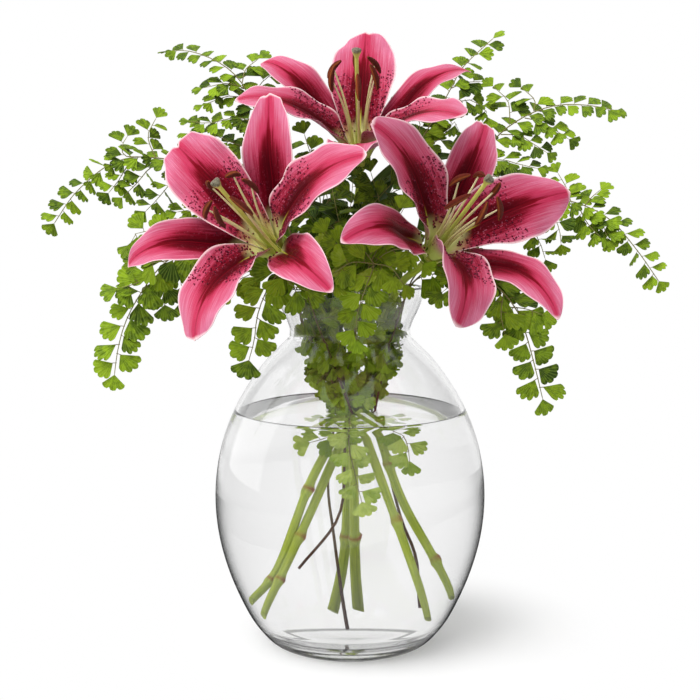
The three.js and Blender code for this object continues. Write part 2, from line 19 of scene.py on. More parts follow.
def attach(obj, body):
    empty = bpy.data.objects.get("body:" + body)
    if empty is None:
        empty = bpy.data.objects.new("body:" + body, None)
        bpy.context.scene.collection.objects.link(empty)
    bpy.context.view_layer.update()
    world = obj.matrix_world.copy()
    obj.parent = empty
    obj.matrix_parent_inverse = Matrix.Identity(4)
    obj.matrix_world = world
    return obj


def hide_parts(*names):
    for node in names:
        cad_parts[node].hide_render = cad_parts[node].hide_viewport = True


bl_info = {
    "name": "Lilies in a vase",
    "version": (1, 0, 0),
    "blender": (4, 5, 0),
    "location": "3D View > Sidebar > Lilies",
    "description": "Builds lilies and maidenhair fern in a glass vase of water",
    "category": "Object",
}

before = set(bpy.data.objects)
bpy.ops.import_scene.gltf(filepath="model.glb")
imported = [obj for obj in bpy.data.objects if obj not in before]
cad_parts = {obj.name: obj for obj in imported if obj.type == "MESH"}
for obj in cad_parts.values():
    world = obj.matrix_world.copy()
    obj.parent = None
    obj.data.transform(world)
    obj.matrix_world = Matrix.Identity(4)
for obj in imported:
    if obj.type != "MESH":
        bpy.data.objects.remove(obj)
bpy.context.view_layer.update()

MM = 0.001

# ---- sizes of the vase

VASE_NODES = ["vase_body", "vase_low_shoulder", "vase_high_shoulder", "vase_neck"]
VASE_HEIGHT = 240
WATER_LEVEL = 157
LIP = 1.4  # radius of the rounded lip
TURNS = 112  # steps of a spun shape

# Outside of the vase from its underside to just under the lip, as (radius, height).
VASE_OUTLINE = [
    (50, 0), (55.5, 2.6), (62, 9.4), (68.4, 18.5), (76.7, 35.5), (83.2, 52.6), (88, 71),
    (90.4, 89), (90.4, 108), (88, 126), (83.5, 143), (77, 159), (67.9, 175), (56.1, 191),
    (46, 201), (40.8, 206), (40.3, 211), (42.2, 217.5), (46, 225.5), (48.7, 233), (49.5, 238.6),
]
NECK_CORNER = 15  # the outline point where shoulder and neck meet in a sharp corner
INNER_FLOOR = [(0, 10.4), (24, 10.1), (44, 9.6), (53, 9.9), (60, 12.8)]
UNDERSIDE = [(0, 1.6), (24, 1.5), (38, 1.1), (43, 0.2), (46, 0)]

# ---- sizes of the flowers

TEPAL_THROAT = 18  # degrees from the flower's axis at the foot of a tepal
TEPAL_OPENING = 0.32  # share of its length over which a tepal opens
TEPAL_STEPS = 208  # steps along a tepal's middle line
TIP_HALF_WIDTH = 0.9
TIP_SHARE = 0.16  # share of a tepal's length that its tip takes up
GROOVE = (0.75, 1.5)  # depth and half width of the groove along a tepal's face
RIDGES = (0.4, 3.4, 2.0)  # height, place and half width of the ridges beside it
KEEL = (0.9, 2.0)  # depth and half width of the keel along a tepal's back
PARTED_AT = 0.33  # share along a tepal at which the two whorls are parted most
INNER_LIFT = 2.0  # how far the inner tepals' margins are lifted there
OUTER_SETBACK = 5.0  # how far the outer tepals are set back there
OUTER_FEWER_DOTS = 12  # how many times fewer dots an outer tepal has
BLADE_CELLS = (30, 64)  # faces across and along a tepal

# Each flower: the foot of its tepals, the way it faces (degrees to the right of -Y and
# above level), and its tepals as (whorl, azimuth, bend, length, width, opening angle,
# recurve angle, roll, channel at the foot, channel at the tip).
FLOWERS = {
    "left": ((-47, -48.5, 266), -28, 30, [
        ("inner", 142, 0, 97, 47, 60, 99, -3, 1.0, 0.3),
        ("outer", 87, 8, 96, 35, 58, 97, 11, 0.8, 0.2),
        ("inner", 33, -7, 98, 45, 51, 101, -19, 0.6, 0.0),
        ("outer", 330, -3, 97, 32, 55, 108, -3, 0.7, 0.3),
        ("inner", 256, 10, 95, 47, 53, 104, 22, 0.9, -0.3),
        ("outer", 196, 4, 98, 31, 56, 129, -2, 0.6, 0.4),
    ]),
    "right": ((51.5, -47.5, 264), 28, 34, [
        ("inner", 128, 10, 96, 47, 44, 78, 10, 0.9, 0.1),
        ("outer", 61, -3, 96, 32, 59, 110, -3, 0.8, 0.2),
        ("inner", 14, -4, 95, 45, 62, 81, 7, 0.8, -0.5),
        ("outer", 308, -18, 100, 31, 49, 91, 2, 0.4, 0.0),
        ("inner", 253, -6, 97, 42, 47, 117, -28, 1.1, 0.0),
        ("outer", 181, 10, 96, 32, 58, 104, 3, 0.4, 0.1),
    ]),
    "top": ((6, 6, 325), -3, 57, [
        ("inner", 88, 0, 97, 46, 60, 77, -7, 0.9, -0.1),
        ("outer", 148, -8, 100, 30, 50, 117, -7, 0.8, 0.3),
        ("inner", 187, 3, 94, 46, 45, 101, 10, 0.5, 0.0),
        ("outer", 31, 3, 101, 29, 53, 123, -4, 0.5, 0.2),
        ("inner", 330, -7, 99, 46, 47, 87, -5, 0.8, -0.1),
        ("outer", 269, -2, 95, 33, 54, 100, 0, 0.8, 0.1),
    ]),
}

# Tepals with a blunt, notched tip: half the tip's width, the notch's depth and place.
BLUNT_TIPS = {
    "tepal_left_inner_1": (6.0, 4.0, 0.05),
    "tepal_left_outer_1": (4.6, 1.6, 0.45),
    "tepal_left_inner_3": (3.6, 0.6, 0.2),
    "tepal_right_outer_1": (4.2, 1.8, 0.2),
    "tepal_right_inner_1": (3.4, 0.8, -0.3),
    "tepal_top_inner_1": (4.4, 2.2, -0.35),
}

# Each whorl: radius of its feet, the widest place along a tepal, the width of its foot as
# a share of the full width, and the two powers that shape its tip.
WHORLS = {"inner": (6, 0.56, 0.2, 2.3, 0.62), "outer": (7.6, 0.52, 0.24, 2.0, 0.75)}

FOOT_GAP = 0.35  # between the receptacle and the feet of the pistil and the stamens
PISTIL_LENGTH = 76
PISTIL_RISE = 2.5
OVARY_LENGTH = 18
STAMEN_HEIGHT = 62
STAMEN_REACHES = [11, 12.5, 12, 10, 8.5, 10.5]
STAMEN_TURN = 7  # degrees off the middle of its tepal
FILAMENT_RING = 4.1
FILAMENT_RADIUS = (1.15, 0.65)  # at its foot, and how much thinner it is at its tip
ANTHER_LENGTH = 17
ANTHER_RADIUS = 1.95
ANTHER_TILTS = [35, 55, 25, 50, 30, 60]  # degrees between anther and filament

# ---- sizes of the stems

STEM_RADIUS = 2.4
RECEPTACLE_RADIUS = 7.6
RECEPTACLE_HEIGHT = 9
STRAIGHT_NECK = 9
NODE_SWELLING = 0.8  # how far a node stands out all round
BUD_SWELLING = 1.1  # how far its leaf scar stands out
BUD_SIDE = 2  # the side of the stem with the leaf scars, in radians round it
CUT_PLACE = 0.015  # share along a stem at which its slanted cut is made

# Each stem from its cut end in the water upwards, and the places of its swollen nodes, in
# millimetres from the cut end.
STEMS = {
    "left_lily": ([(62, -26, 36), (43, -14, 68), (26, -8, 101), (9, -5, 158),
                   (-3, -7, 190), (-14, -10, 215), (-26, -20, 238)], [34, 96]),
    "right_lily": ([(-62, -30, 35), (-41, -22, 57), (-20, -10, 111), (4, 4, 158),
                    (18, 1, 205), (26, -7, 228), (35, -20, 245)], [27, 84]),
    "top_lily": ([(3.5, 60, 22), (2.3, 38, 54), (2, 18, 90), (1, 13, 158),
                  (1, 16, 210), (3, 18, 260), (4.5, 18, 293)], [58]),
    "leafy_left": ([(48, -42, 26), (24, -22, 91), (9, -12, 134), (1, -9, 158),
                    (-22, -2, 208), (-30, 2, 252)], [70]),
    "leafy_right": ([(-54, -37, 27), (-37, -28, 59), (-20, -12, 94), (-7, 0, 124), (9, 9, 158),
                     (26, 10, 210), (34, 12, 252)], [33, 62]),
    "leafy_back": ([(-7.5, 57, 22), (-2.3, 42, 62), (-1.4, 27, 100), (-5, 20, 158),
                    (-10, 22, 210), (-15, 27, 262)], [50]),
}

# Leaves of the top flower's stem: foot, middle and tip, and the way the face looks.
LEAVES = [
    ([(5.5, 18.5, 296), (40, 28, 322), (79, 30, 328)], (0.3, -0.6, 0.74)),
    ([(5, 17.5, 282), (22, 10, 301), (30, 4, 311)], (-0.5, -0.8, 0.3)),
    ([(2, 17, 262), (-12, 6, 286), (-28, -2, 297)], (0.5, -0.7, 0.5)),
]
LEAF_HALF_WIDTH = 6
LEAF_THICKNESS = 0.6

# ---- sizes of the ferns

# Each frond: the share of its stipe without leaflets, the size of its leaflets, how bright
# they are painted (painted light and shade: darker in the middle of the bouquet, brighter in
# front), the way they face, its stipe from the lower end to the tip, and its twigs. A twig
# starts at one of the stipe's points, given by its number, or at a point of its own.
FRONDS = {
    "upper_left": (0.52, 0.84, 0.5, (0.1, -0.62, 0.78), [
        (-9, 12, 150), (-24, 18, 210), (-28, 24, 240), (-45, 28, 287), (-57, 30, 331),
        (-66, 30, 361), (-75, 30, 378), (-88, 30, 389), (-109, 30, 397), (-122, 30, 397)], [
        [(-71, 30, 372), (-82, 26, 375), (-98, 24, 372)], [5, (-79, 28, 367), (-98, 24, 361)],
        [(-73, 30, 376), (-71, 34, 385), (-63, 36, 392)], [5, (-62, 38, 375), (-52, 40, 384)],
        [4, (-65, 24, 348), (-75, 22, 352), (-95, 18, 348), (-106, 16, 349)],
        [4, (-72, 24, 333), (-86, 20, 338), (-102, 18, 346), (-108, 16, 337)],
        [(-48, 28, 300), (-60, 20, 313), (-78, 16, 318)],
    ]),
    "left": (0.5, 0.84, 0.5, (0.45, -0.5, 0.74), [
        (-10, -4, 150), (-31, 3, 210), (-38, 6, 240), (-47, 8, 272), (-71, 10, 300),
        (-97, 8, 320), (-125, 4, 324), (-140, 2, 325), (-158, 0, 320), (-181, -2, 301),
        (-194, -5, 282)], [
        [7, (-149, 4, 326), (-151, 6, 332), (-148, 8, 338)],
        [(-128, 4, 324), (-133, 8, 334), (-134, 9, 340), (-129, 10, 350)],
        [(-140, 2, 324), (-146, -2, 319), (-151, -5, 310), (-157, -8, 302)],
        [(-126, 4, 322), (-133, -2, 316), (-139, -6, 308), (-148, -8, 299)],
        [5, (-109, 0, 314), (-118, -4, 307), (-126, -8, 297), (-133, -8, 290)],
        [4, (-90, 0, 297), (-102, -6, 291), (-112, -10, 289)],
    ]),
    "lower_left": (0.62, 1.16, 0.6, (0, -0.92, 0.38), [
        (-28, -35, 64), (-6, -20, 92), (-3, -15, 125), (-4, -14, 158), (-28, -13, 210),
        (-40, -16, 245), (-75, -22, 261), (-100, -26, 265), (-117, -28, 258), (-134, -31, 237),
        (-144, -33, 218), (-149, -34, 200), (-151, -35, 186)], [
        [(-132, -31, 245), (-138, -33, 243), (-146, -35, 241)],
        [(-122, -29, 252), (-120, -26, 245), (-121, -25, 240), (-120, -24, 231)],
        [7, (-111, -20, 257), (-110, -18, 245), (-109, -17, 234)],
        [8, (-124, -36, 257), (-132, -38, 257)],
        [7, (-120, -20, 274), (-137, -18, 276), (-142, -18, 269)],
        [6, (-90, -10, 270), (-108, -8, 276)],
    ]),
    "front_left": (0.55, 1.2, 0.7, (0, -0.92, 0.38), [
        (4, -16, 150), (-18, -25, 210), (-30, -34, 243), (-42, -46, 253), (-52, -48, 240),
        (-58, -50, 224), (-60, -50, 209), (-63, -50, 198)], [
        [3, (-54, -42, 251), (-65, -40, 249), (-73, -40, 244)],
        [3, (-37, -52, 244), (-28, -56, 241)],
        [(-36, -38, 249), (-20, -50, 252), (-10, -56, 246)],
    ]),
    "front": (0.7, 1.04, 0.85, (0, -0.9, 0.42), [
        (-1, 46, 16), (-8, 20, 75), (-11, 8, 104), (-9, 4, 130), (-7, 3, 158), (2, -26, 205),
        (6, -38, 243), (15, -56, 256), (10, -62, 244), (7, -63, 235), (4, -62, 224),
        (4, -60, 211)], [
        [(15, -56, 257), (1, -58, 258), (-9, -60, 252)],
        [(15, -56, 257), (25, -62, 255), (32, -64, 246)],
        [(15, -56, 257), (6, -50, 267), (-7, -48, 269)],
        [6, (20, -46, 262), (34, -52, 266), (44, -54, 258)],
        [6, (-4, -42, 262), (-14, -44, 275)], [(10, -46, 251), (22, -44, 276), (30, -42, 290)],
    ]),
    "lower_right": (0.5, 1.14, 0.55, (0.1, -0.92, 0.38), [
        (15, -8, 150), (28, -14, 210), (42, -22, 245), (66, -34, 257), (82, -38, 251),
        (97, -40, 238), (106, -42, 226), (111, -43, 213), (117, -44, 192), (122, -45, 172)], [
        [(101, -41, 229), (111, -40, 228), (120, -40, 225)],
        [5, (95, -46, 224), (97, -48, 214)], [4, (70, -44, 248), (59, -48, 240)],
        [4, (95, -30, 248), (109, -26, 242)], [2, (52, -38, 250), (62, -46, 246)],
    ]),
    "right": (0.6, 0.86, 0.5, (-0.45, -0.55, 0.7), [
        (32, 20, 32), (32, 10, 63), (26, -5, 88), (18, -2, 125), (15, 0, 158), (32, 2, 210),
        (42, 3, 245), (69, 4, 270), (99, 6, 287), (125, 4, 297), (146, 2, 296), (170, -2, 285),
        (188, -6, 265), (203, -8, 244)], [
        [10, (144, 8, 305), (139, 10, 314)], [(155, 0, 293), (161, 6, 299), (166, 8, 303)],
        [(151, 2, 293), (157, -6, 280), (164, -8, 273)],
        [(163, 0, 290), (166, -4, 282), (169, -8, 271)],
        [9, (132, -4, 289), (137, -8, 278), (138, -10, 269)],
        [9, (117, -2, 282), (124, -6, 271), (128, -8, 259)],
    ]),
    "upper_right": (0.52, 0.86, 0.5, (-0.1, -0.65, 0.75), [
        (15, 8, 150), (31, 13, 210), (38, 18, 243), (57, 22, 284), (81, 24, 317),
        (102, 25, 342), (118, 25, 353), (133, 25, 359), (146, 25, 361), (164, 25, 360),
        (179, 25, 357)], [
        [(108, 25, 349), (108, 28, 358), (107, 30, 364), (98, 32, 373)],
        [(124, 25, 357), (125, 28, 364), (117, 30, 372)],
        [(118, 25, 352), (126, 22, 350), (134, 20, 346), (146, 18, 338)],
        [(102, 25, 341), (114, 20, 340), (122, 18, 335), (131, 16, 329)],
        [4, (100, 18, 324), (112, 14, 321), (124, 12, 318)],
        [4, (93, 14, 313), (107, 10, 311), (119, 8, 307)],
    ]),
    "top_right": (0.6, 0.86, 0.5, (-0.1, -0.7, 0.7), [
        (6, 17, 150), (4, 28, 210), (8, 32, 245), (20, 36, 297), (44, 38, 331), (61, 38, 358),
        (69, 38, 373), (77, 38, 387), (97, 38, 406)], [
        [5, (81, 34, 365), (93, 30, 356), (90, 28, 350)],
        [4, (61, 34, 338), (71, 32, 350), (74, 30, 344)], [6, (79, 40, 377), (89, 42, 378)],
        [4, (48, 44, 352), (37, 48, 363)], [3, (40, 26, 306), (58, 22, 300)],
    ]),
    "middle": (0.36, 1.0, 0.3, (0, -0.8, 0.6), [
        (-11, 8, 150), (-14, 29, 206), (-17, 38, 243), (-20, 38, 290), (-23, 38, 314),
        (-31, 34, 341)], [
        [3, (-4, 30, 311), (-1, 26, 321)], [1, (-20, 10, 250), (-14, -10, 280), (-4, -20, 271)],
        [3, (-36, 46, 304), (-46, 50, 318)], [(-16, 37, 238), (-30, 54, 262), (-44, 66, 268)],
        [(-16, 37, 238), (0, 58, 268), (8, 76, 276)],
        [2, (-14, 20, 275), (-16, 8, 302), (-24, 2, 318)],
        [2, (4, 14, 270), (14, 2, 292), (26, -4, 306)],
        [2, (-4, 8, 262), (-8, -12, 286), (-12, -16, 306)],
        [2, (14, 8, 258), (26, -14, 276), (34, -20, 290)], [2, (10, 50, 280), (30, 58, 304)],
        [3, (-14, 52, 316), (-2, 58, 334)], [2, (-44, 40, 270), (-66, 46, 284)],
        [2, (20, 52, 262), (46, 56, 276)], [2, (-6, 16, 268), (0, 2, 290), (2, -4, 310)],
        [2, (-14, 12, 266), (-26, 0, 286), (-34, -4, 300)],
        [2, (10, 16, 266), (20, 8, 290), (14, 2, 314)],
    ]),
}

# Leafy twigs under and just over the water, by frond: the share of each that is left bare,
# the size of its leaflets, and the twigs.
WATER_TWIGS = {
    "front": (0.05, 0.74, [
        [(-0.5, -22, 142), (-0.5, -24, 132), (2, -25, 121), (4, -26, 111), (6, -26, 103)],
        [(1, -18, 154), (-2, -22, 148), (-0.5, -22, 142)],
        [(-4, -6, 178), (-9, -12, 170), (-10, -15, 162)],
        [(2, -6, 176), (5, -13, 169), (7, -16, 161)],
    ]),
    "lower_left": (0.2, 0.7, [
        [(-4, -12, 140), (-10, -11, 137), (-15, -12, 135), (-20, -14, 134)],
        [(-4, -12, 172), (-1, -16, 166), (0, -17, 159)],
    ]),
    "right": (0.3, 0.74, [
        [(17, -4, 148), (24, -9, 142), (29, -12, 136), (31, -13, 129), (31.5, -14, 124)],
        [(15, 0, 174), (15, -8, 167), (13, -14, 160)],
    ]),
}

PAINTED_LIGHT_UNDER_WATER = 1.35  # painted light: how much brighter the leaflets under the water are painted
STALK = 0.15  # length of a leaflet's stalk, as a share of its basal edge

# Each leaflet that a branch carries at its sides, and the even fans at its end: lobes,
# angles of the apical and the basal edge, how much shorter the apical edge is, depth of
# the clefts, bulge of the outer edge.
SIDE_LEAFLETS = [
    (3, -80, 12, 0.3, 0.14, 0.14), (4, -76, 15, 0.26, 0.12, 0.12), (4, -72, 9, 0.24, 0.14, 0.16),
]
END_LEAFLETS = [(3, -50, 50, 0, 0.18, 0), (4, -56, 56, 0, 0.15, 0)]

# Branches of a frond: radius at the foot and the tip, and how dark the wood is there.
STIPE = (0.85, 0.28, (1.0, 0.15))
TWIG = (0.4, 0.22, (0.45, 0.1))
WATER_TWIG = (0.35, 0.2, (0.7, 0.2))
COLLAR_TWIG = (0.26, 0.18, (0.7, 0.4))

# How far from the vase's axis the foliage in the neck reaches, as (height, radius).
NECK_ROOM = [
    (150, 15), (158, 19), (165, 22), (180, 31), (196, 35), (206, 36.5), (215, 37), (238, 42),
]

# Short leafy twigs round each stipe in the neck: their number, the height of the lowest
# and the height from one to the next.
COLLAR = (13, 158, 6)


# ---- small helpers


def clamp(value):
    return min(1.0, max(0.0, value))


def smooth(value):
    value = clamp(value)
    return value * value * (3 - 2 * value)


def bump(value, centre, spread):
    """A bell of height 1 round centre."""
    return exp(-(((value - centre) / spread) ** 2))


def between(table, value):
    """The value of a table of (place, value) pairs at a place between its rows."""
    for (low, start), (high, end) in zip(table, table[1:]):
        if value <= high:
            return start + (end - start) * clamp((value - low) / (high - low))
    return table[-1][1]


def turned(vector, degrees, axis):
    """A copy of a vector, turned about an axis."""
    vector = vector.copy()
    vector.rotate(Matrix.Rotation(radians(degrees), 3, axis))
    return vector


def paint(code):
    """A colour such as 0xB03060 as the linear red, green, blue and alpha of a socket."""
    parts = [(code >> shift & 255) / 255 for shift in (16, 8, 0)]
    linear = [p / 12.92 if p <= 0.04045 else ((p + 0.055) / 1.055) ** 2.4 for p in parts]
    return (*linear, 1.0)


class Line:
    """A smooth curve through points, read by a share of its length from 0 to 1."""

    def __init__(self, points, steps=10):
        points = [Vector(point) for point in points]
        ends = [2 * points[0] - points[1], *points, 2 * points[-1] - points[-2]]
        self.dots = [points[0]]
        for i in range(len(points) - 1):
            span = ends[i : i + 4]
            self.dots += [span_point(span, (step + 1) / steps) for step in range(steps)]
        self.reach = [0.0]
        for dot, after in zip(self.dots, self.dots[1:]):
            self.reach.append(self.reach[-1] + (after - dot).length)
        self.length = self.reach[-1]

    def at(self, share):
        distance = clamp(share) * self.length
        i = min(bisect.bisect_right(self.reach, distance), len(self.dots) - 1)
        start, end = self.reach[i - 1], self.reach[i]
        return self.dots[i - 1].lerp(self.dots[i], (distance - start) / (end - start))

    def heading(self, share):
        return (self.at(share + 0.01) - self.at(share - 0.01)).normalized()

    def frames(self, stations):
        """The point, side and up directions at evenly spaced stations, without twist."""
        up = self.heading(0).orthogonal()
        rows = []
        for station in range(stations + 1):
            along = self.heading(station / stations)
            up = (up - along * up.dot(along)).normalized()
            rows.append((self.at(station / stations), along.cross(up), up))
        return rows


def span_point(span, share):
    """A point between the two middle ones of four, on the centripetal curve through them."""
    a, b, c, d = span
    t = [0.0]
    for start, end in zip(span, span[1:]):
        t.append(t[-1] + max(1e-6, (end - start).length) ** 0.5)
    at = t[1] + (t[2] - t[1]) * share
    ab = a.lerp(b, (at - t[0]) / (t[1] - t[0]))
    bc = b.lerp(c, (at - t[1]) / (t[2] - t[1]))
    cd = c.lerp(d, (at - t[2]) / (t[3] - t[2]))
    abc = ab.lerp(bc, (at - t[0]) / (t[2] - t[0]))
    bcd = bc.lerp(cd, (at - t[1]) / (t[3] - t[1]))
    return abc.lerp(bcd, (at - t[1]) / (t[2] - t[1]))


# ---- mesh builders


def new_shape():
    """An empty mesh with the two attributes that every grown piece carries."""
    shape = bmesh.new()
    shape.verts.layers.float_vector.new("growth")
    shape.verts.layers.float_vector.new("tone")
    return shape


def layers(shape):
    vectors = shape.verts.layers.float_vector
    return vectors["growth"], vectors["tone"]


def fill_holes(shape):
    rims = [edge for edge in shape.edges if edge.is_boundary]
    bmesh.ops.holes_fill(shape, edges=rims, sides=0)


def blade(cells_across, cells_along, place):
    """A thin closed blade. place(across, along, under) gives a point and its growth."""
    shape = new_shape()
    growth, tone = layers(shape)
    bmesh.ops.create_grid(shape, x_segments=cells_across, y_segments=cells_along, size=1)
    for vert in shape.verts:
        vert[tone] = (vert.co.x, (vert.co.y + 1) / 2, 0)
    under = bmesh.ops.extrude_face_region(shape, geom=shape.faces[:], use_keep_orig=True)
    for part in under["geom"]:
        if isinstance(part, bmesh.types.BMVert):
            part[tone].z = 1
    for vert in shape.verts:
        vert.co, vert[growth] = place(*vert[tone])
    return shape


def tube(line, radius, sides, stations, shade=None):
    """A closed tube. radius(share, turn) is in millimetres, and shade(share, turn) its tone."""
    shape = new_shape()
    growth, tone = layers(shape)
    bmesh.ops.create_grid(shape, x_segments=sides, y_segments=stations, size=1)
    rows = line.frames(stations)
    for vert in shape.verts:
        turn = pi * (vert.co.x + 1)
        share = (vert.co.y + 1) / 2
        point, side, up = rows[round(share * stations)]
        reach = radius(share, turn)
        across, out = reach * cos(turn), reach * sin(turn)
        vert[tone] = shade(share, turn) if shade else (share, 0, 0)
        vert[growth] = (across, out, share * line.length)
        vert.co = point + side * across + up * out
    bmesh.ops.remove_doubles(shape, verts=shape.verts, dist=1e-5)
    fill_holes(shape)
    return shape


def spun(profile):
    """A closed round body, from a profile of (radius, height) points that meets the axis."""
    shape = bmesh.new()
    dots = [shape.verts.new((radius, 0, height)) for radius, height in profile]
    edges = [shape.edges.new(pair) for pair in zip(dots, dots[1:])]
    bmesh.ops.spin(
        shape, geom=dots + edges, cent=(0, 0, 0), axis=(0, 0, 1), angle=2 * pi,
        steps=TURNS, use_merge=True,
    )
    bmesh.ops.remove_doubles(shape, verts=shape.verts, dist=1e-4)
    return shape


def as_mesh(shape, name="part"):
    mesh = bpy.data.meshes.new(name)
    bmesh.ops.recalc_face_normals(shape, faces=shape.faces)
    shape.to_mesh(mesh)
    shape.free()
    return mesh


def add_mesh(shape, mesh):
    """Copies a mesh into a shape, and throws the mesh away."""
    shape.from_mesh(mesh)
    bpy.data.meshes.remove(mesh)


def new_object(name, data):
    made = bpy.data.objects.new(name, data)
    bpy.context.scene.collection.objects.link(made)
    return made


def finish_piece(name, shape, nodes, slot, materials):
    """Makes a millimetre shape a finished piece of the scene, in metres."""
    bmesh.ops.scale(shape, vec=(MM, MM, MM), verts=shape.verts)
    mesh = as_mesh(shape, name)
    mesh.shade_smooth()
    if slot not in ("glass", "water"):
        mesh.set_sharp_from_angle(angle=radians(50))
    for material in materials:
        mesh.materials.append(material)
    piece = new_object(name, mesh)
    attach(piece, "root")
    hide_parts(*nodes)
    return piece


# ---- shader nodes


class Value:
    """An output of a shader node. Arithmetic with it adds nodes to the same tree, and a | b
    is the larger of two values."""

    def __init__(self, tree, node, key=0):
        self.tree, self.node, self.key = tree, node, key

    def __getitem__(self, key):
        """Another output of the same node."""
        return Value(self.tree, self.node, key)

    def fill(self, inputs):
        """Sets the node's inputs, named or numbered, to plain values or to outputs."""
        for key, value in inputs.items():
            if isinstance(value, Value):
                self.tree.links.new(value.node.outputs[value.key], self.node.inputs[key])
            else:
                self.node.inputs[key].default_value = value
        return self

    def maths(self, operation, *others):
        inputs = dict(enumerate((self, *others)))
        return put(self.tree, "Math", inputs, operation=operation)

    __add__ = functools.partialmethod(maths, "ADD")
    __sub__ = functools.partialmethod(maths, "SUBTRACT")
    __mul__ = functools.partialmethod(maths, "MULTIPLY")
    __truediv__ = functools.partialmethod(maths, "DIVIDE")
    __or__ = functools.partialmethod(maths, "MAXIMUM")
    __abs__ = functools.partialmethod(maths, "ABSOLUTE")

    def fade(self, low, high, start=0, end=1):
        """Goes smoothly from start to end as the value goes from low to high."""
        ends = {"From Min": low, "From Max": high, "To Min": start, "To Max": end}
        return put(self.tree, "MapRange", {"Value": self, **ends}, interpolation_type="SMOOTHSTEP")

    def share(self, most, least=0):
        """A mask from 0 to 1 as one from least to most."""
        return self.fade(0, 1, least, most)

    def parts(self):
        """The three numbers of a vector."""
        split = put(self.tree, "SeparateXYZ", {0: self})
        return split[0], split[1], split[2]


def put(tree, kind, inputs=None, **settings):
    """Adds a node to a tree, and returns its first output."""
    node = tree.nodes.new("ShaderNode" + kind)
    for key, value in settings.items():
        setattr(node, key, value)
    return Value(tree, node).fill(inputs or {})


def coats(colour, *over):
    """A colour with others laid over it in turn, each as (mask, colour)."""
    for mask, coat in over:
        ends = [paint(end) if isinstance(end, int) else end for end in (colour, coat)]
        inputs = {0: mask, 6: ends[0], 7: ends[1]}
        colour = put(mask.tree, "Mix", inputs, data_type="RGBA")[2]
    return colour


def attribute(tree, name):
    """One of the grown meshes' two attributes, as a vector."""
    return put(tree, "Attribute", attribute_name=name)["Vector"]


def mask_group(name, inputs, detail, low, high, place):
    """A node group of soft noise as a mask from 0 to 1, which is made on its first use."""
    if name not in bpy.data.node_groups:
        tree = bpy.data.node_groups.new(name, "ShaderNodeTree")
        for key in inputs:
            tree.interface.new_socket(key, in_out="INPUT", socket_type="NodeSocketFloat")
        tree.interface.new_socket("Mask", in_out="OUTPUT", socket_type="NodeSocketFloat")
        vector, scale = place(tree, Value(tree, tree.nodes.new("NodeGroupInput")))
        grain = put(tree, "TexNoise", {"Vector": vector, "Scale": scale, "Detail": detail})
        output = Value(tree, tree.nodes.new("NodeGroupOutput"))
        output.fill({"Mask": grain["Fac"].fade(low, high)})
    return bpy.data.node_groups[name]


def streaks(tree, across, along):
    """Fine streaks along a grown piece."""

    def place(group, given):
        scale = {0: given["Across"], 1: given["Across"], 2: given["Along"]}
        inputs = {0: attribute(group, "growth"), 1: put(group, "CombineXYZ", scale)}
        return put(group, "VectorMath", inputs, operation="MULTIPLY"), 1.0

    inputs = {"Across": across, "Along": along}
    group = mask_group("Growth streaks", inputs, 3.0, 0.3, 0.7, place)
    return put(tree, "Group", inputs, node_tree=group)


def mottle(tree, scale):
    """Soft patches all over a piece."""

    def place(group, given):
        return put(group, "TexCoord")["Object"], given["Scale"]

    inputs = {"Scale": scale}
    group = mask_group("Mottle", inputs, 4.0, 0.32, 0.68, place)
    return put(tree, "Group", inputs, node_tree=group)


class Material:
    """A material whose surface is a Principled shader, with others laid over it."""

    def __init__(self, name):
        self.data = bpy.data.materials.new(name)
        self.data.use_nodes = True
        self.tree = self.data.node_tree
        self.tree.nodes.clear()
        self.surface = self.shader = put(self.tree, "BsdfPrincipled")
        self.output = put(self.tree, "OutputMaterial", {"Surface": self.shader})

    def finish(self, colour, roughness, relief, **more):
        """Fills in the surface. relief is a height with its strength and its distance, and
        more are other sockets by name, with _ for a space."""
        inputs = dict(zip(("Height", "Strength", "Distance"), relief))
        normal = put(self.tree, "Bump", inputs)
        more = {name.replace("_", " "): value for name, value in more.items()}
        skin = {"Base Color": colour, "Roughness": roughness, "Normal": normal}
        self.shader.fill({**skin, **more})
        return self.data

    def cover(self, mask, shader):
        self.surface = put(self.tree, "MixShader", {0: mask, 1: self.surface, 2: shader})
        self.output.fill({"Surface": self.surface})


# ---- settings


def number_setting(name, description, default, **kind):
    return bpy.props.FloatProperty(name=name, description=description, default=default, **kind)


def count_setting(name, description, default):
    return bpy.props.IntProperty(name=name, description=description, default=default)


def distance_setting(name, description, default):
    return number_setting(name, description, default, subtype="DISTANCE", unit="LENGTH")


def colour_setting(name, description, code):
    return bpy.props.FloatVectorProperty(
        name=name, description=description, default=paint(code), size=4,
        subtype="COLOR", min=0, max=1,
    )


class VaseSettings(bpy.types.PropertyGroup):
    """Sizes of the vase and its water, and how they bend light."""

    wall: distance_setting("Wall", "Thickness of the glass wall", 2.8 * MM)
    water_level: distance_setting(
        "Water level", "Height of the water over the table", WATER_LEVEL * MM
    )
    glass_ior: number_setting("Glass index", "Index of refraction of the glass", 1.5)
    water_ior: number_setting("Water index", "Index of refraction of the water", 1.33)


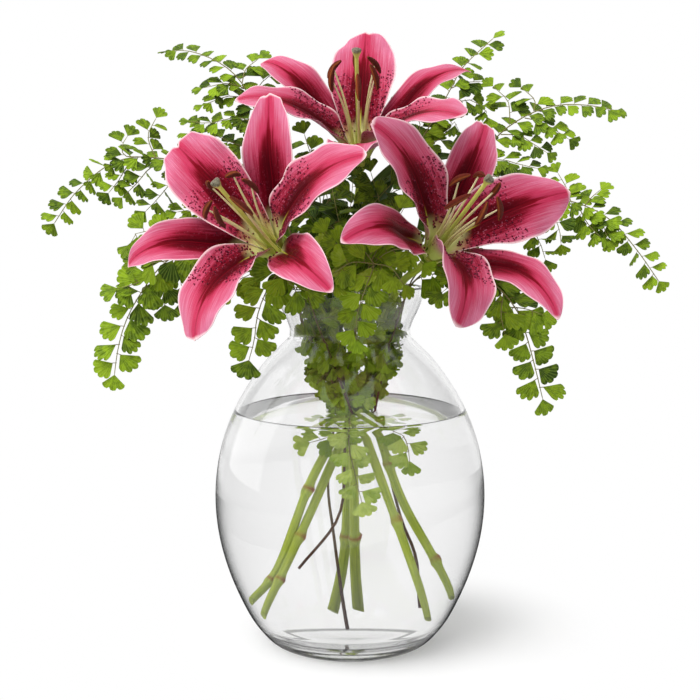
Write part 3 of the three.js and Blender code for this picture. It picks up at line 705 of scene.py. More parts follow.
class LilySettings(bpy.types.PropertyGroup):
    """Sizes and colours of the lilies and their stems."""

    thickness: distance_setting("Tepal thickness", "Thickness at the middle of a tepal", 1.0 * MM)
    ruffle: distance_setting("Ruffle", "Height of the waves along a tepal's margins", 1.3 * MM)
    papillae: count_setting("Papillae", "Raised dark dots on each broad tepal", 200)
    body: colour_setting("Body", "Main colour of a tepal's face", 0xB63354)
    band: colour_setting("Band", "Dark band along the middle of a tepal", 0x7E0318)
    margin: colour_setting("Margin", "Pale flush along a tepal's margins", 0xC66886)
    edge: colour_setting("Edge", "Thin edge round a tepal", 0xF3D3D6)
    dots: colour_setting("Dots", "Raised dots and flecks", 0x3E0316)
    throat: colour_setting("Throat", "Foot of a tepal's face", 0xEBEDA4)
    back: colour_setting("Back", "Back of a tepal", 0xB85C7C)
    pollen: colour_setting("Pollen", "Anthers of the stamens", 0x4A0F06)
    stem: colour_setting("Stem", "Stems and receptacles", 0xBECD42)


class FernSettings(bpy.types.PropertyGroup):
    """Sizes and colours of the maidenhair fern."""

    leaflet: distance_setting("Leaflet", "Basal edge of a full-sized leaflet", 13.6 * MM)
    spacing: distance_setting("Spacing", "Distance between neighbouring leaflets", 5.3 * MM)
    light: colour_setting("Light green", "The brightest leaflets", 0x86A41C)
    dark: colour_setting("Dark green", "The darkest leaflets", 0x304A12)
    stipe: colour_setting("Stipe", "The dark wiry stipes", 0x4C230E)
    seed: count_setting("Seed", "Seed of the leaflets' small turns", 7)


class StageSettings(bpy.types.PropertyGroup):
    """Light and floor of the studio."""

    key: number_setting("Key", "Power of the main light", 140.0, unit="POWER")
    panel: number_setting("Panel", "Power of the side panel", 3.0, unit="POWER")
    sky: number_setting("Surroundings", "Brightness all round", 0.68)
    floor: colour_setting("Floor", "Colour of the table", 0xFAFAFA)


# ---- vase and water


def outline(inset=0.0):
    """The vase's outside from the underside's edge up, moved in by some millimetres."""
    runs = [VASE_OUTLINE[: NECK_CORNER + 1], VASE_OUTLINE[NECK_CORNER:]]
    dots = []
    for run in runs:
        line = Line([(radius, 0, height) for radius, height in run], steps=5)
        dots += line.dots if not dots else line.dots[1:]
    moved = []
    for i, dot in enumerate(dots):
        along = (dots[min(i + 1, len(dots) - 1)] - dots[max(i - 1, 0)]).normalized()
        moved.append((dot.x - along.z * inset, dot.z + along.x * inset))
    return moved


def inner_wall(inset):
    """The inner wall from the rounded corner over the floor up to the lip."""
    floor_edge = INNER_FLOOR[-1][1] + 5
    return [(r, z) for r, z in outline(inset) if floor_edge < z < VASE_HEIGHT - LIP - 0.3]


def floor_line(foot, drop):
    """The inner floor, lowered by a drop, from the axis out to the foot of the wall."""
    dots = [(radius, 0, height - drop) for radius, height in INNER_FLOOR]
    line = Line([*dots, (foot[0], 0, foot[1])], steps=6)
    return [(dot.x, dot.z) for dot in line.dots[:-1]]


def vase_shape(wall):
    underside = Line([(radius, 0, height) for radius, height in UNDERSIDE], steps=5)
    lip_centre = VASE_OUTLINE[-1][0] - LIP
    lip = [
        (lip_centre + LIP * cos(turn), VASE_HEIGHT - LIP + LIP * sin(turn))
        for turn in (radians(angle) for angle in range(0, 181, 15))
    ]
    inside = inner_wall(wall)
    return spun([
        *[(dot.x, dot.z) for dot in underside.dots],
        *outline(),
        *lip[1:],
        *reversed(inside),
        *reversed(floor_line(inside[0], 0)),
    ])


def water_shape(wall, level):
    """Water a little into the glass all round, with a thin raised rim at the wall."""
    sunk = 0.3
    inside = [(r, z) for r, z in inner_wall(wall - sunk) if z < level]
    rim = inside[-1][0] - 0.2
    surface = [
        (rim, level + 1), (rim - 0.5, level + 0.5), (rim - 1.2, level + 0.15),
        (rim - 2.6, level), (rim * 0.5, level), (0, level),
    ]
    return spun([*floor_line(inside[0], sunk), *inside, *surface])


# ---- flowers


class Flower:
    """A flower's foot and its own directions: w along its axis, u to its right, v across."""

    def __init__(self, foot, yaw, pitch):
        turn, rise = radians(yaw), radians(pitch)
        level = cos(rise)
        self.foot = Vector(foot)
        self.w = Vector((sin(turn) * level, -cos(turn) * level, sin(rise)))
        self.u = Vector((0, 0, 1)).cross(self.w).normalized()
        self.v = self.w.cross(self.u)

    def point(self, radius, azimuth, height):
        out = self.u * cos(azimuth) + self.v * sin(azimuth)
        return self.foot + out * radius + self.w * height


def tepal_spine(flower, row):
    """The middle line of a tepal: a point, its side and its face direction at each step."""
    whorl, azimuth, bend, length, _, opening, recurve, roll, _, _ = row
    radius, height = WHORLS[whorl][0], 0.0

    def lean(share):
        past = clamp((share - TEPAL_OPENING) / (1 - TEPAL_OPENING))
        opened = (opening - TEPAL_THROAT) * smooth(share / TEPAL_OPENING)
        return radians(TEPAL_THROAT + opened + (recurve - opening) * past**1.5)

    spine = []
    for step in range(TEPAL_STEPS + 1):
        share = step / TEPAL_STEPS
        if step:
            middle = lean(share - 0.5 / TEPAL_STEPS)
            radius += length / TEPAL_STEPS * sin(middle)
            height += length / TEPAL_STEPS * cos(middle)
        turn = radians(azimuth + bend * share * share)
        outward = flower.u * cos(turn) + flower.v * sin(turn)
        face = -cos(lean(share)) * outward + sin(lean(share)) * flower.w
        spine.append((flower.point(radius, turn, height), face))
    rows = []
    for step, (point, face) in enumerate(spine):
        before, after = spine[max(0, step - 1)][0], spine[min(TEPAL_STEPS, step + 1)][0]
        along = (after - before).normalized()
        side = turned(face.cross(along).normalized(), roll * step / TEPAL_STEPS, along)
        rows.append((point, side, along.cross(side)))
    return rows


def tepal_surface(flower, row, node, settings, dice):
    """A function that gives a place on a tepal, from its share across, along and under."""
    whorl, _, _, length, width, _, _, _, channel_foot, channel_tip = row
    _, widest, foot, blunt, rounding = WHORLS[whorl]
    spine = tepal_spine(flower, row)
    thickness = settings.thickness / MM
    ruffle = settings.ruffle / MM * (1 if whorl == "inner" else 0.6)
    waves = [(dice.uniform(3.0, 4.4), dice.uniform(0, 1)) for _ in range(2)]
    swell = dice.uniform(0, 9)
    tip, notch, middle = BLUNT_TIPS.get(node, (TIP_HALF_WIDTH, 0, 0))

    def place(across, along, under):
        end = smooth((along - 1 + TIP_SHARE) / TIP_SHARE)
        cut = notch * bump(across, middle, 0.3) + 0.9 * tip * abs(across - 0.3 * middle) ** 3
        along -= cut / length * end
        step, rest = divmod(clamp(along) * TEPAL_STEPS, 1)
        before, after = spine[int(step)], spine[min(TEPAL_STEPS, int(step) + 1)]
        point, side, face = (first.lerp(second, rest) for first, second in zip(before, after))
        rise = foot + (1 - foot) * sin(pi / 2 * clamp(along / widest))
        taper = (1 - clamp((along - widest) / (1 - widest)) ** blunt) ** rounding
        half = hypot(tip * end if tip > 1 else tip, width / 2 * rise * taper)
        spread = copysign(abs(across) ** 1.25, across)
        channel = channel_foot + (channel_tip - channel_foot) * smooth(along) or 1e-3
        reach = half * spread
        count, phase = waves[across > 0]
        edge = abs(spread) ** 3 * smooth(along / 0.25) * smooth((1.02 - along) / 0.15)
        wave = ruffle * edge * sin(2 * pi * (count * along + phase))
        wave += 0.8 * edge * noise.noise(Vector((swell, along * 7, across)))
        centre = smooth(along / 0.08) * smooth((1 - along) / 0.1)
        ridge, apart, blur = RIDGES
        ridges = ridge * (bump(reach, apart, blur) + bump(reach, -apart, blur))
        groove = ridges - GROOVE[0] * bump(reach, 0, GROOVE[1])
        groove *= 1 - 0.8 * smooth((along - 0.5) / 0.4)
        thin = thickness * (1 - 0.62 * abs(spread) ** 2) * (0.6 + 0.4 * smooth((1 - along) / 0.12))
        lift = half * (1 - cos(channel * spread)) / channel + wave
        keel = -KEEL[0] * bump(reach, 0, KEEL[1]) * centre * (1 - 0.6 * along) * under
        lift += groove * centre * (1 - under) + thin * (0.5 - under) + keel
        parted = bump(along, PARTED_AT, 0.21) * smooth(along / 0.1)
        lift += parted * (INNER_LIFT * spread**2 if whorl == "inner" else -OUTER_SETBACK)
        out = point + side * (half * sin(channel * spread) / channel) + face * lift
        return out, Vector((reach, 0, along * length))

    return place


def papillae(surface, whorl, count, dice):
    """Small raised dots strewn over the lower half of a tepal's face."""
    shape = new_shape()
    growth, tone = layers(shape)
    for _ in range(count):
        along = dice.uniform(0.13, 0.6 if whorl == "inner" else 0.4)
        across = dice.choice((-1, 1)) * (0.12 + 0.84 * dice.random() ** 0.55)
        if abs(across) < 0.3 and dice.random() < 0.6:
            continue
        top, bottom = surface(across, along, 0)[0], surface(across, along, 1)[0]
        normal = (top - bottom).normalized()
        size = dice.uniform(0.36, 0.72) * (1.1 - 0.5 * along)
        leaning = normal.to_track_quat("Z", "Y").to_matrix().to_4x4()
        stretch = Matrix.Diagonal((1, 1.25, 1.5, 1))
        dot = bmesh.ops.create_icosphere(
            shape, subdivisions=1, radius=size,
            matrix=Matrix.Translation(top + normal * size * 0.3) @ leaning @ stretch,
        )
        for vert in dot["verts"]:
            vert[growth] = vert.co
            vert[tone] = (across, along, 0)
    return shape


def flower_tepals(name, flower, rows, settings, materials):
    counts = {"inner": 0, "outer": 0}
    for row in rows:
        whorl = row[0]
        counts[whorl] += 1
        node = f"tepal_{name}_{whorl}_{counts[whorl]}"
        dice = random.Random(node)
        surface = tepal_surface(flower, row, node, settings, dice)
        shape = blade(*BLADE_CELLS, surface)
        fewer = 1 if whorl == "inner" else OUTER_FEWER_DOTS
        dots = papillae(surface, whorl, settings.papillae // fewer, dice)
        for face in dots.faces:
            face.material_index = 1
        add_mesh(shape, as_mesh(dots))
        coloured = [materials[whorl], materials["dots"]]
        finish_piece(f"{node}_petal", shape, [node], "tepal", coloured)


def pistil_shape(flower):
    """Swollen grooved ovary, long style and three-lobed stigma, as one tube."""
    line = Line([
        flower.point(PISTIL_RISE * s**2, pi / 2, PISTIL_LENGTH * s + FOOT_GAP)
        for s in (0, 0.25, 0.5, 0.75, 1)
    ])

    def radius(share, turn):
        height = share * PISTIL_LENGTH
        ovary = 0.85 * smooth((OVARY_LENGTH + 3 - height) / 5) * (1 + 0.1 * cos(6 * turn))
        head = smooth((height - PISTIL_LENGTH + 7) / 5.5)
        lobes = 1.75 * head * (1 + 0.26 * cos(3 * turn))
        return (1.25 + ovary + lobes) * (1 - 0.55 * smooth((share - 0.985) / 0.015))

    def shade(share, turn):
        return share, smooth((share * PISTIL_LENGTH - PISTIL_LENGTH + 3.5) / 2), 0

    return tube(line, radius, sides=18, stations=84, shade=shade)


def stamen_shape(flower, azimuth, index):
    """A tapered filament with a grooved, slightly bent anther balanced on its tip."""
    turn = radians(azimuth + STAMEN_TURN)
    height = STAMEN_HEIGHT - 2 * (index % 3)
    reach = STAMEN_REACHES[index]
    path = [
        flower.point(FILAMENT_RING + reach * s**2, turn, FOOT_GAP + height * s)
        for s in (0, 0.35, 0.7, 1)
    ]
    thick, thinner = FILAMENT_RADIUS
    filament = tube(Line(path), lambda share, _: thick - thinner * share, 10, 22)

    along = (path[-1] - path[-2]).normalized()
    sideways = along.cross(flower.w).normalized()
    along = turned(along, ANTHER_TILTS[index], sideways)
    bow = along.cross(sideways).normalized() * 1.3
    half = ANTHER_LENGTH / 2
    spots = [(-1, 0), (-0.5, 0.75), (0, 1), (0.5, 0.75), (1, 0)]
    line = Line([path[-1] + along * half * s + bow * (b - 0.6) for s, b in spots])

    def radius(share, around):
        lobes = 1 - 0.24 * bump(cos(around), 0, 0.3) * smooth(min(share, 1 - share) / 0.15)
        rounded = sin(pi * clamp(0.04 + 0.92 * share)) ** 0.55
        return max(0.15, ANTHER_RADIUS * lobes * rounded)

    def shade(share, around):
        return share, 1, bump(cos(around), 0, 0.34)

    add_mesh(filament, as_mesh(tube(line, radius, sides=20, stations=24, shade=shade)))
    return filament


# ---- stems


def stem_shape(points, nodes, flower):
    """A stem with swollen nodes and a slanted cut end, and its flower's receptacle."""
    ends = []
    if flower:
        neck = -RECEPTACLE_HEIGHT - STRAIGHT_NECK
        ends = [flower.point(0, 0, height) for height in (neck, -RECEPTACLE_HEIGHT, -0.3)]
    line = Line([*points, *ends])
    swell = sum(points[0])

    def radius(share, turn):
        height = share * line.length
        bud = BUD_SWELLING * bump(turn, BUD_SIDE, 0.6)
        knots = sum(
            NODE_SWELLING * bump(height, k, 2.6) + bud * bump(height, k + 2, 1.8) for k in nodes)
        ribs = 0.05 * cos(5 * turn + 0.02 * height)
        wander = 0.16 * noise.noise(Vector((swell, height / 22, 0)))
        head = 0.0
        if flower:
            swelling = smooth((height - line.length + RECEPTACLE_HEIGHT + 3) / 10)
            head = (RECEPTACLE_RADIUS - STEM_RADIUS) * swelling
        return STEM_RADIUS + knots + ribs + wander + head

    def shade(share, turn):
        height = share * line.length
        side = 0.5 + 0.5 * bump(turn, BUD_SIDE, 1.2)
        scar = sum(bump(height, k + 1.5, 1.8) * side for k in nodes)
        head = smooth((height - line.length + 24) / 22) if flower else 0
        return share, clamp(scar), head

    stations = max(48, round(line.length / 2.6))
    shape = tube(line, radius, sides=18, stations=stations, shade=shade)
    slant = line.heading(0) + 0.9 * line.heading(0).orthogonal().normalized()
    everything = shape.verts[:] + shape.edges[:] + shape.faces[:]
    bmesh.ops.bisect_plane(
        shape, geom=everything, plane_co=line.at(CUT_PLACE), plane_no=slant, clear_inner=True)
    fill_holes(shape)
    ends = [face for face in shape.faces if len(face.verts) > 4]
    bmesh.ops.inset_individual(shape, faces=ends, thickness=0.3)
    bmesh.ops.bevel(
        shape, geom=list({edge for face in ends for edge in face.edges}), affect="EDGES",
        offset=0.12, segments=1, profile=0.5, material=-1,
    )
    return shape


def leaf_shape(points, looks):
    """A lance-shaped leaf, folded a little along its middle."""
    line = Line(points)
    up = Vector(looks).normalized()

    def place(across, along, under):
        heading = line.heading(along)
        side = up.cross(heading).normalized()
        normal = heading.cross(side)
        half = max(0.7, LEAF_HALF_WIDTH * sin(pi * (0.12 + 0.86 * along)))
        wave = 0.7 * abs(across) ** 2 * sin(9 * along + 2 * across)
        lift = 0.3 * half * abs(across) ** 1.4 + wave - 0.5 * bump(across, 0, 0.12)
        out = line.at(along) + side * half * across + normal * (lift - LEAF_THICKNESS * under)
        return out, Vector((half * across, 0, along * line.length))

    return blade(16, 44, place)


# ---- ferns


def leaflet_mesh(lobes, apical, basal, short, cleft, bulge):
    """A leaflet on a thin stalk: a fan between two angles, lobed along its outer edge.

    Its basal edge is 1 long, its apical edge shorter by a share, its outer edge bulging.
    """
    places = (0, 0.22, 0.5, 0.78)

    def place(across, along, under):
        lobe, step = divmod(round((across + 1) * 2 * lobes), 4)
        share = (lobe + places[step]) / lobes
        turn = radians(apical + (basal - apical) * share)
        cut = (0, 0.03, 0, 0.03)[step] + short * (1 - share) ** 1.3
        cut -= bulge * sin(pi * share)
        if step == 0:
            cut += cleft if 0 < lobe < lobes else 0.1
        reach = (1 - cut) * max(along, 0.02)
        lift = 0.03 * reach * cos(2 * pi * lobes * share) - 0.14 * reach**2
        lift += 0.012 - 0.024 * under
        out = Vector((reach * cos(turn), reach * sin(turn), lift))
        return out, Vector((out.x, out.y, 0))

    shape = blade(4 * lobes, 1, place)
    tone = layers(shape)[1]
    bmesh.ops.translate(shape, verts=shape.verts, vec=(STALK, 0, 0))
    for vert in shape.verts:
        vert[tone] = (0, 0, 0)
    line = Line([(-0.04, 0, 0), (0.5 * STALK, 0, 0.01), (STALK + 0.1, 0, 0)], steps=2)
    stalk = tube(line, lambda *_: 0.02, sides=3, stations=1, shade=lambda *_: (0, 0, 1))
    add_mesh(shape, as_mesh(stalk))
    return as_mesh(shape, "leaflet")


class Frond:
    """Grows one frond: tubes and leaflets that all go into one mesh."""

    def __init__(self, name, kinds, settings):
        self.shape = new_shape()
        self.kinds = kinds
        self.length = settings.leaflet / MM
        self.spacing = settings.spacing / MM
        self.dice = random.Random(f"{name} {settings.seed}")

    def branch(self, points, thick, thin, wood):
        """A wiry branch. wood gives how dark it is at its foot and its tip."""
        line = Line(points)
        stations = max(6, round(line.length / 7))

        def radius(share, _):
            return thick + (thin - thick) * share

        def shade(share, _):
            return 0.3, wood[0] + (wood[1] - wood[0]) * share, 1

        add_mesh(self.shape, as_mesh(tube(line, radius, 6, stations, shade)))
        return line

    def fitted(self, place, direction, size):
        """Turns and shrinks a leaflet in the vase's neck until it stays inside the glass."""
        low, (high, widest) = NECK_ROOM[0][0], NECK_ROOM[-1]
        for _ in range(8):
            tip = place + direction * size * (1 + STALK)
            inside = low < tip.z < high and place.xy.length < widest
            if not inside or tip.xy.length < between(NECK_ROOM, tip.z) - 1.5:
                break
            direction = (direction - 0.35 * Vector((tip.x, tip.y, 0)).normalized()).normalized()
            size *= 0.95
        return size, direction

    def leaflet(self, kinds, place, direction, size, light, age, facing, hand, mess):
        """A leaflet at a place on a branch, turned a little at random."""
        dice = self.dice
        size, direction = self.fitted(place, direction, size)
        face = turned(facing, dice.gauss(0, mess), direction)
        face += Vector([dice.gauss(0, 0.01 * mess) for _ in range(3)])
        normal = (face - direction * face.dot(direction)).normalized()
        across = normal.cross(direction) * hand
        turn = Matrix((direction, across, normal)).transposed().to_4x4()
        copy = dice.choice(kinds).copy()
        copy.transform(Matrix.Translation(place) @ turn @ Matrix.Scale(size, 4))
        first = len(self.shape.verts)
        add_mesh(self.shape, copy)
        self.shape.verts.ensure_lookup_table()
        growth, tone = layers(self.shape)
        # the frond's painted light and shade, with a random tone
        bright = max(0.0, light + dice.gauss(0, 0.2))
        brown = age * dice.random()
        for i in range(first, len(self.shape.verts)):
            vert = self.shape.verts[i]
            wood = vert[tone].z
            vert[tone] = (bright, 0.6 if wood else brown, wood)
            vert[growth] *= size

    def leafy(self, line, bare, size, light, facing, age=0.04, tip=0.82, mess=15, apart=1.0):
        """Leaflets on alternate sides of a branch, smaller towards its tip, then an even fan."""
        sides, ends = self.kinds
        count = max(1, round(line.length * (1 - bare) / (apart * self.spacing * max(0.7, size))))
        for i in range(count + 1):
            share = bare + (1 - bare) * i / count
            along = line.heading(share)
            hand = 1 if i % 2 else -1
            lean = self.dice.uniform(0.1, 0.4)
            direction = (along * lean + facing.cross(along).normalized() * hand).normalized()
            scale = size * self.length * (1 - (1 - tip) * i / count) * self.dice.uniform(0.88, 1.1)
            if i == count:
                direction, scale = along, scale * 0.92
            kinds = ends if i == count else sides
            place = line.at(share - 0.002)
            self.leaflet(kinds, place, direction, scale, light, age, facing, hand, mess)

    def collar(self, line):
        """Short leafy twigs round a stipe inside the vase's neck and shoulder."""
        dice = self.dice
        count, foot, step = COLLAR
        for i in range(count):
            height = foot + step * (i + dice.random())
            share = next((k / 90 for k in range(90) if line.at(k / 90).z > height), 1)
            place = line.at(share)
            outward = Vector((place.x, place.y, 0)).normalized()
            outward = turned(outward, dice.uniform(-100, 100), "Z")
            end = place + outward * dice.uniform(5, 14) + Vector((0, 0, dice.uniform(-14, 6)))
            room = between(NECK_ROOM, end.z) - 6
            if end.xy.length > room:
                end.xy = end.xy * (room / end.xy.length)
            middle = place.lerp(end, 0.5) + Vector((0, 0, 1.5))
            twig = self.branch([place, middle, end], *COLLAR_TWIG)
            facing = (outward * 0.7 + Vector((0, -0.8, 0.3))).normalized()
            size = dice.uniform(0.7, 0.95)
            # painted light and shade: the neck's leaflets are painted at a brightness of 0.75
            self.leafy(twig, 0.3, size, 0.75, facing, age=0.3, tip=0.9, mess=32)


def frond_shape(name, kinds, settings):
    bare, size, light, facing, stipe, twigs = FRONDS[name]
    facing = Vector(facing).normalized()
    frond = Frond(name, kinds, settings)
    line = frond.branch(stipe, *STIPE)
    frond.leafy(line, bare, size, light, facing)
    frond.collar(line)
    for foot, *points in twigs:
        foot = stipe[foot] if isinstance(foot, int) else foot
        twig = frond.branch([foot, *points], *TWIG)
        frond.leafy(twig, 0.24, size * 0.95, light, facing)
    bare, size, twigs = WATER_TWIGS.get(name, (0, 0, []))
    for points in twigs:
        twig = frond.branch(points, *WATER_TWIG)
        # leaflets under the water get painted light
        light = PAINTED_LIGHT_UNDER_WATER if points[0][2] < WATER_LEVEL else 1.0
        frond.leafy(twig, bare, size, light, Vector((0, -0.97, 0.25)), tip=1.0, apart=1.15)
    return frond.shape


# ---- materials

PAINTED_DARK_REFLECTION = 0x1E2222  # painted dark reflection: the dark surroundings that glass and water show at their rims
INNER_FOOT = 13.6 * MM  # height of the rounded corner round the vase's inner floor


def clear_material(name, tint, ior, shadow, waviness, dark_from=9.0, rims=0.0, ring=0.0):
    """Clear glass or water, with a shadow's tint of its own. Painted dark reflections darken it
    from a height on (a painted waterline), where it is seen along its surface (rims) and round
    the vase's inner foot (ring)."""
    clear = Material(name)
    tree = clear.tree
    height = put(tree, "TexCoord")["Object"].parts()[2]
    facing = put(tree, "LayerWeight", {"Blend": 0.5})["Facing"]
    # painted dark reflections: at rims seen along the surface, stronger low down, round the inner
    # foot and from a height on
    edge = facing.fade(0.6, 0.93) * height.fade(0.08, 0.16, rims, rims * 0.4)
    foot = abs(height - INNER_FOOT).fade(0.3 * MM, 1.1 * MM, ring, 0)
    line = height.fade(dark_from, dark_from + 0.3 * MM, 0, 0.8)
    through = put(tree, "BsdfTransparent", {"Color": paint(shadow)})
    clear.cover(put(tree, "LightPath")["Is Shadow Ray"], through)
    # the painted dark reflections laid over the tint
    colour = coats(tint, (line, PAINTED_DARK_REFLECTION), (edge | foot, PAINTED_DARK_REFLECTION))
    relief = (mottle(tree, 14.0), waviness, 0.6 * MM)
    return clear.finish(colour, 0.0, relief, Transmission_Weight=1.0, IOR=ior)


def tepal_material(name, colours, spots):
    """A tepal: a dark band that widens towards its foot, pale streaked margins, dark flecks."""
    petal = Material(name)
    tree = petal.tree
    across, along, under = attribute(tree, "tone").parts()
    growth = attribute(tree, "growth")
    edge = abs(across)
    vein, broad = streaks(tree, 1.8, 0.05), streaks(tree, 0.4, 0.03)
    ragged = edge + (broad.share(0.1, -0.1) + vein.share(0.07, -0.07))

    def zone(foot, tip, softness):
        """A streaky band along the middle, with its half width at the foot and at the tip."""
        width = along.fade(0.3, 0.92, foot, tip)
        return (ragged / width).fade(1 - softness, 1 + softness, 1, 0)

    def spotted(scale, core, rim, most):
        """Spots strewn over the lower half of the face."""
        inputs = {"Vector": growth, "Scale": scale, "Randomness": 1.0}
        return put(tree, "TexVoronoi", inputs).fade(core, rim, most, 0) * reach

    reach = along.fade(0.1, 0.18) * along.fade(0.48, 0.7, 1, 0) * edge.fade(0.12, 0.45, 0, spots)
    face = coats(
        colours.margin,
        (vein.fade(0.3, 1, 0, 0.28), 0xE2A6B8),
        (zone(1.1, 0.52, 0.6), colours.body),
        (zone(0.76, 0.05, 0.6) * along.fade(0.72, 0.95, 1, 0.3), colours.band),
        (zone(0.5, 0.03, 0.7) * along.fade(0.5, 0.85, 0.85, 0.1), 0x3C0009),
        (edge.fade(0.015, 0.05, 0.6, 0) * along.fade(0.4, 0.9, 1, 0), colours.band),
        (spotted(0.62, 0.16, 0.34, 0.4), 0xD97C98),
        (spotted(0.42, 0.17, 0.27, 1), colours.dots),
        ((along + edge * 0.08).fade(0.1, 0.28, 1, 0), colours.throat),
        (edge.fade(0.02, 0.1, 1, 0) * along.fade(0.18, 0.34, 1, 0), 0xC4CB46),
        (edge.fade(0.93, 1, 0, 0.9) | along.fade(0.97, 1, 0, 0.9), colours.edge),
    )
    back = coats(
        colours.back,
        (vein.share(0.35), 0xE9C3CE),
        (edge.fade(0, 0.16, 0.6, 0), 0xA9B070),
        (along.fade(0.1, 0.34, 1, 0), 0xB4BC62),
    )
    return petal.finish(
        coats(face, (under, back)),
        vein.share(0.55, 0.4),
        (vein + mottle(tree, 2600.0) * 0.6, 0.35, 0.4 * MM),
        Specular_IOR_Level=0.07,
        Subsurface_Weight=0.04,
        Subsurface_Radius=(0.003, 0.001, 0.0008),
    )


def papilla_material(colours):
    papilla = Material("Papillae")
    papilla.shader.fill({
        "Base Color": coats(colours.dots, (mottle(papilla.tree, 900.0), 0x8A1038)),
        "Roughness": mottle(papilla.tree, 1500.0).share(0.5, 0.3),
    })
    return papilla.data


def pistil_material():
    pistil = Material("Lily pistil")
    along, stigma, _ = attribute(pistil.tree, "tone").parts()
    streak, patches = streaks(pistil.tree, 1.4, 0.05), mottle(pistil.tree, 900.0)
    head = coats(0x4E4634, (patches, 0x7E7864))
    body = coats(0xA2B348, (along.fade(0.2, 0.9), 0xC8CB5C), (streak.share(0.4), 0xD8D982))
    relief = (streak + patches, 0.4, 0.2 * MM)
    return pistil.finish(coats(body, (stigma, head)), stigma.share(0.3, 0.4), relief)


def stamen_material(colours):
    stamen = Material("Lily stamen")
    along, anther, groove = attribute(stamen.tree, "tone").parts()
    streak, grains = streaks(stamen.tree, 2.0, 0.05), mottle(stamen.tree, 2200.0)
    filament = coats(0xE9E48E, (along, 0xF6EDC0), (streak.share(0.3), 0xBCC45C))
    dust = coats(colours.pollen, (grains.share(0.55), 0x7E2A0C), (groove * 0.75, 0xA85A20))
    relief = (grains, 0.6, 0.3 * MM)
    return stamen.finish(coats(filament, (anther, dust)), anther.share(0.85, 0.4), relief)


def stem_material(colours):
    stem = Material("Lily stem")
    _, scar, head = attribute(stem.tree, "tone").parts()
    streak, patches = streaks(stem.tree, 1.3, 0.03), mottle(stem.tree, 45.0)
    inputs = {"Vector": attribute(stem.tree, "growth"), "Scale": 0.16}
    speck = put(stem.tree, "TexVoronoi", inputs).fade(0.05, 0.11, 0.7, 0)
    darker = [colour * tint for colour, tint in zip(colours.stem, paint(0xBCCB9C))]
    colour = coats(
        darker,
        (streak, colours.stem),
        (patches.share(0.35), 0xB0BC62),
        (head.share(0.55), 0xB5B45E),
        (scar.fade(0.1, 0.7, 0, 0.95), 0x96481C),
        (speck, 0x6B5A2C),
    )
    relief = (streak + scar, 0.35, 0.3 * MM)
    return stem.finish(colour, patches.share(0.55, 0.38), relief, Specular_IOR_Level=0.2)


def leaf_material():
    leaf = Material("Lily leaf")
    across, along, under = attribute(leaf.tree, "tone").parts()
    vein = streaks(leaf.tree, 1.6, 0.03)
    colour = coats(
        0x2C4A16,
        (vein, 0x48691F),
        (abs(across).fade(0.03, 0.12, 0.6, 0), 0x6E8C3A),
        (along.fade(0.85, 1, 0, 0.5), 0x7C7A30),
        (under, 0x6B8A48),
    )
    return leaf.finish(colour, vein.share(0.45, 0.3), (vein, 0.4, 0.3 * MM))


def fern_material(colours):
    fern = Material("Maidenhair fern")
    light, brown, wood = attribute(fern.tree, "tone").parts()
    out, across, _ = attribute(fern.tree, "growth").parts()
    patches = mottle(fern.tree, 260.0)
    fan = (across.maths("ARCTAN2", out) * 34.0).maths("SINE")
    # shade: a leaflet's random tone with its frond's painted light and shade, and patches
    shade = light + patches.share(0.18, -0.18)
    green = coats(
        colours.dark,
        (shade.fade(0, 1), colours.light),
        # painted light: leaflets painted brighter than 1 turn pale yellow-green
        (shade.fade(1, 1.8, 0, 0.8), 0xCCDE6C),
        (fan.share(0.22), 0xA9C65A),
        (brown, 0x7A5A2C),
    )
    colour = coats(green, (wood, coats(0x9A9A60, (brown, colours.stipe))))
    relief = (fan, 0.25, 0.2 * MM)
    return fern.finish(colour, patches.share(0.6, 0.45), relief, Specular_IOR_Level=0.12)


# ---- operators


class LILIES_OT_vase(bpy.types.Operator):
    """Make the clear glass vase"""

    bl_idname = "lilies.vase"
    bl_label = "Glass vase"

    def execute(self, context):
        vase = context.scene.lilies_vase
        # the glass gets painted dark reflections at its rims
        glass = clear_material("Clear glass", 0xFBFBFB, vase.glass_ior, 0xE9E9E9, 0.05, rims=0.8)
        finish_piece("vase_glass", vase_shape(vase.wall / MM), VASE_NODES, "glass", [glass])
        return {"FINISHED"}


class LILIES_OT_water(bpy.types.Operator):
    """Fill the vase with water"""

    bl_idname = "lilies.water"
    bl_label = "Water"

    def execute(self, context):
        vase = context.scene.lilies_vase
        rim = vase.water_level + 0.1 * MM
        # the water gets a painted dark waterline just over its level and a painted dark ring round
        # the inner foot
        water = clear_material("Water", 0xFCFCFC, vase.water_ior, 0xF2F2F2, 0.03, rim, ring=0.85)
        shape = water_shape(vase.wall / MM, vase.water_level / MM)
        finish_piece("vase_water", shape, ["water"], "water", [water])
        return {"FINISHED"}


class LILIES_OT_stems(bpy.types.Operator):
    """Grow the six stems, three of them up to a flower, with the leaves of the top one"""

    bl_idname = "lilies.stems"
    bl_label = "Stems and leaves"

    def execute(self, context):
        green = stem_material(context.scene.lilies_lily)
        leafy = leaf_material()
        for name, (points, nodes) in STEMS.items():
            side = name.removesuffix("_lily")
            flower = Flower(*FLOWERS[side][:3]) if side in FLOWERS else None
            shape = stem_shape(points, nodes, flower)
            if side == "top":
                for row in LEAVES:
                    leaf = leaf_shape(*row)
                    for face in leaf.faces:
                        face.material_index = 1
                    add_mesh(shape, as_mesh(leaf))
            finish_piece(f"stem_{name}_green", shape, [f"stem_{name}"], "stem", [green, leafy])
        return {"FINISHED"}


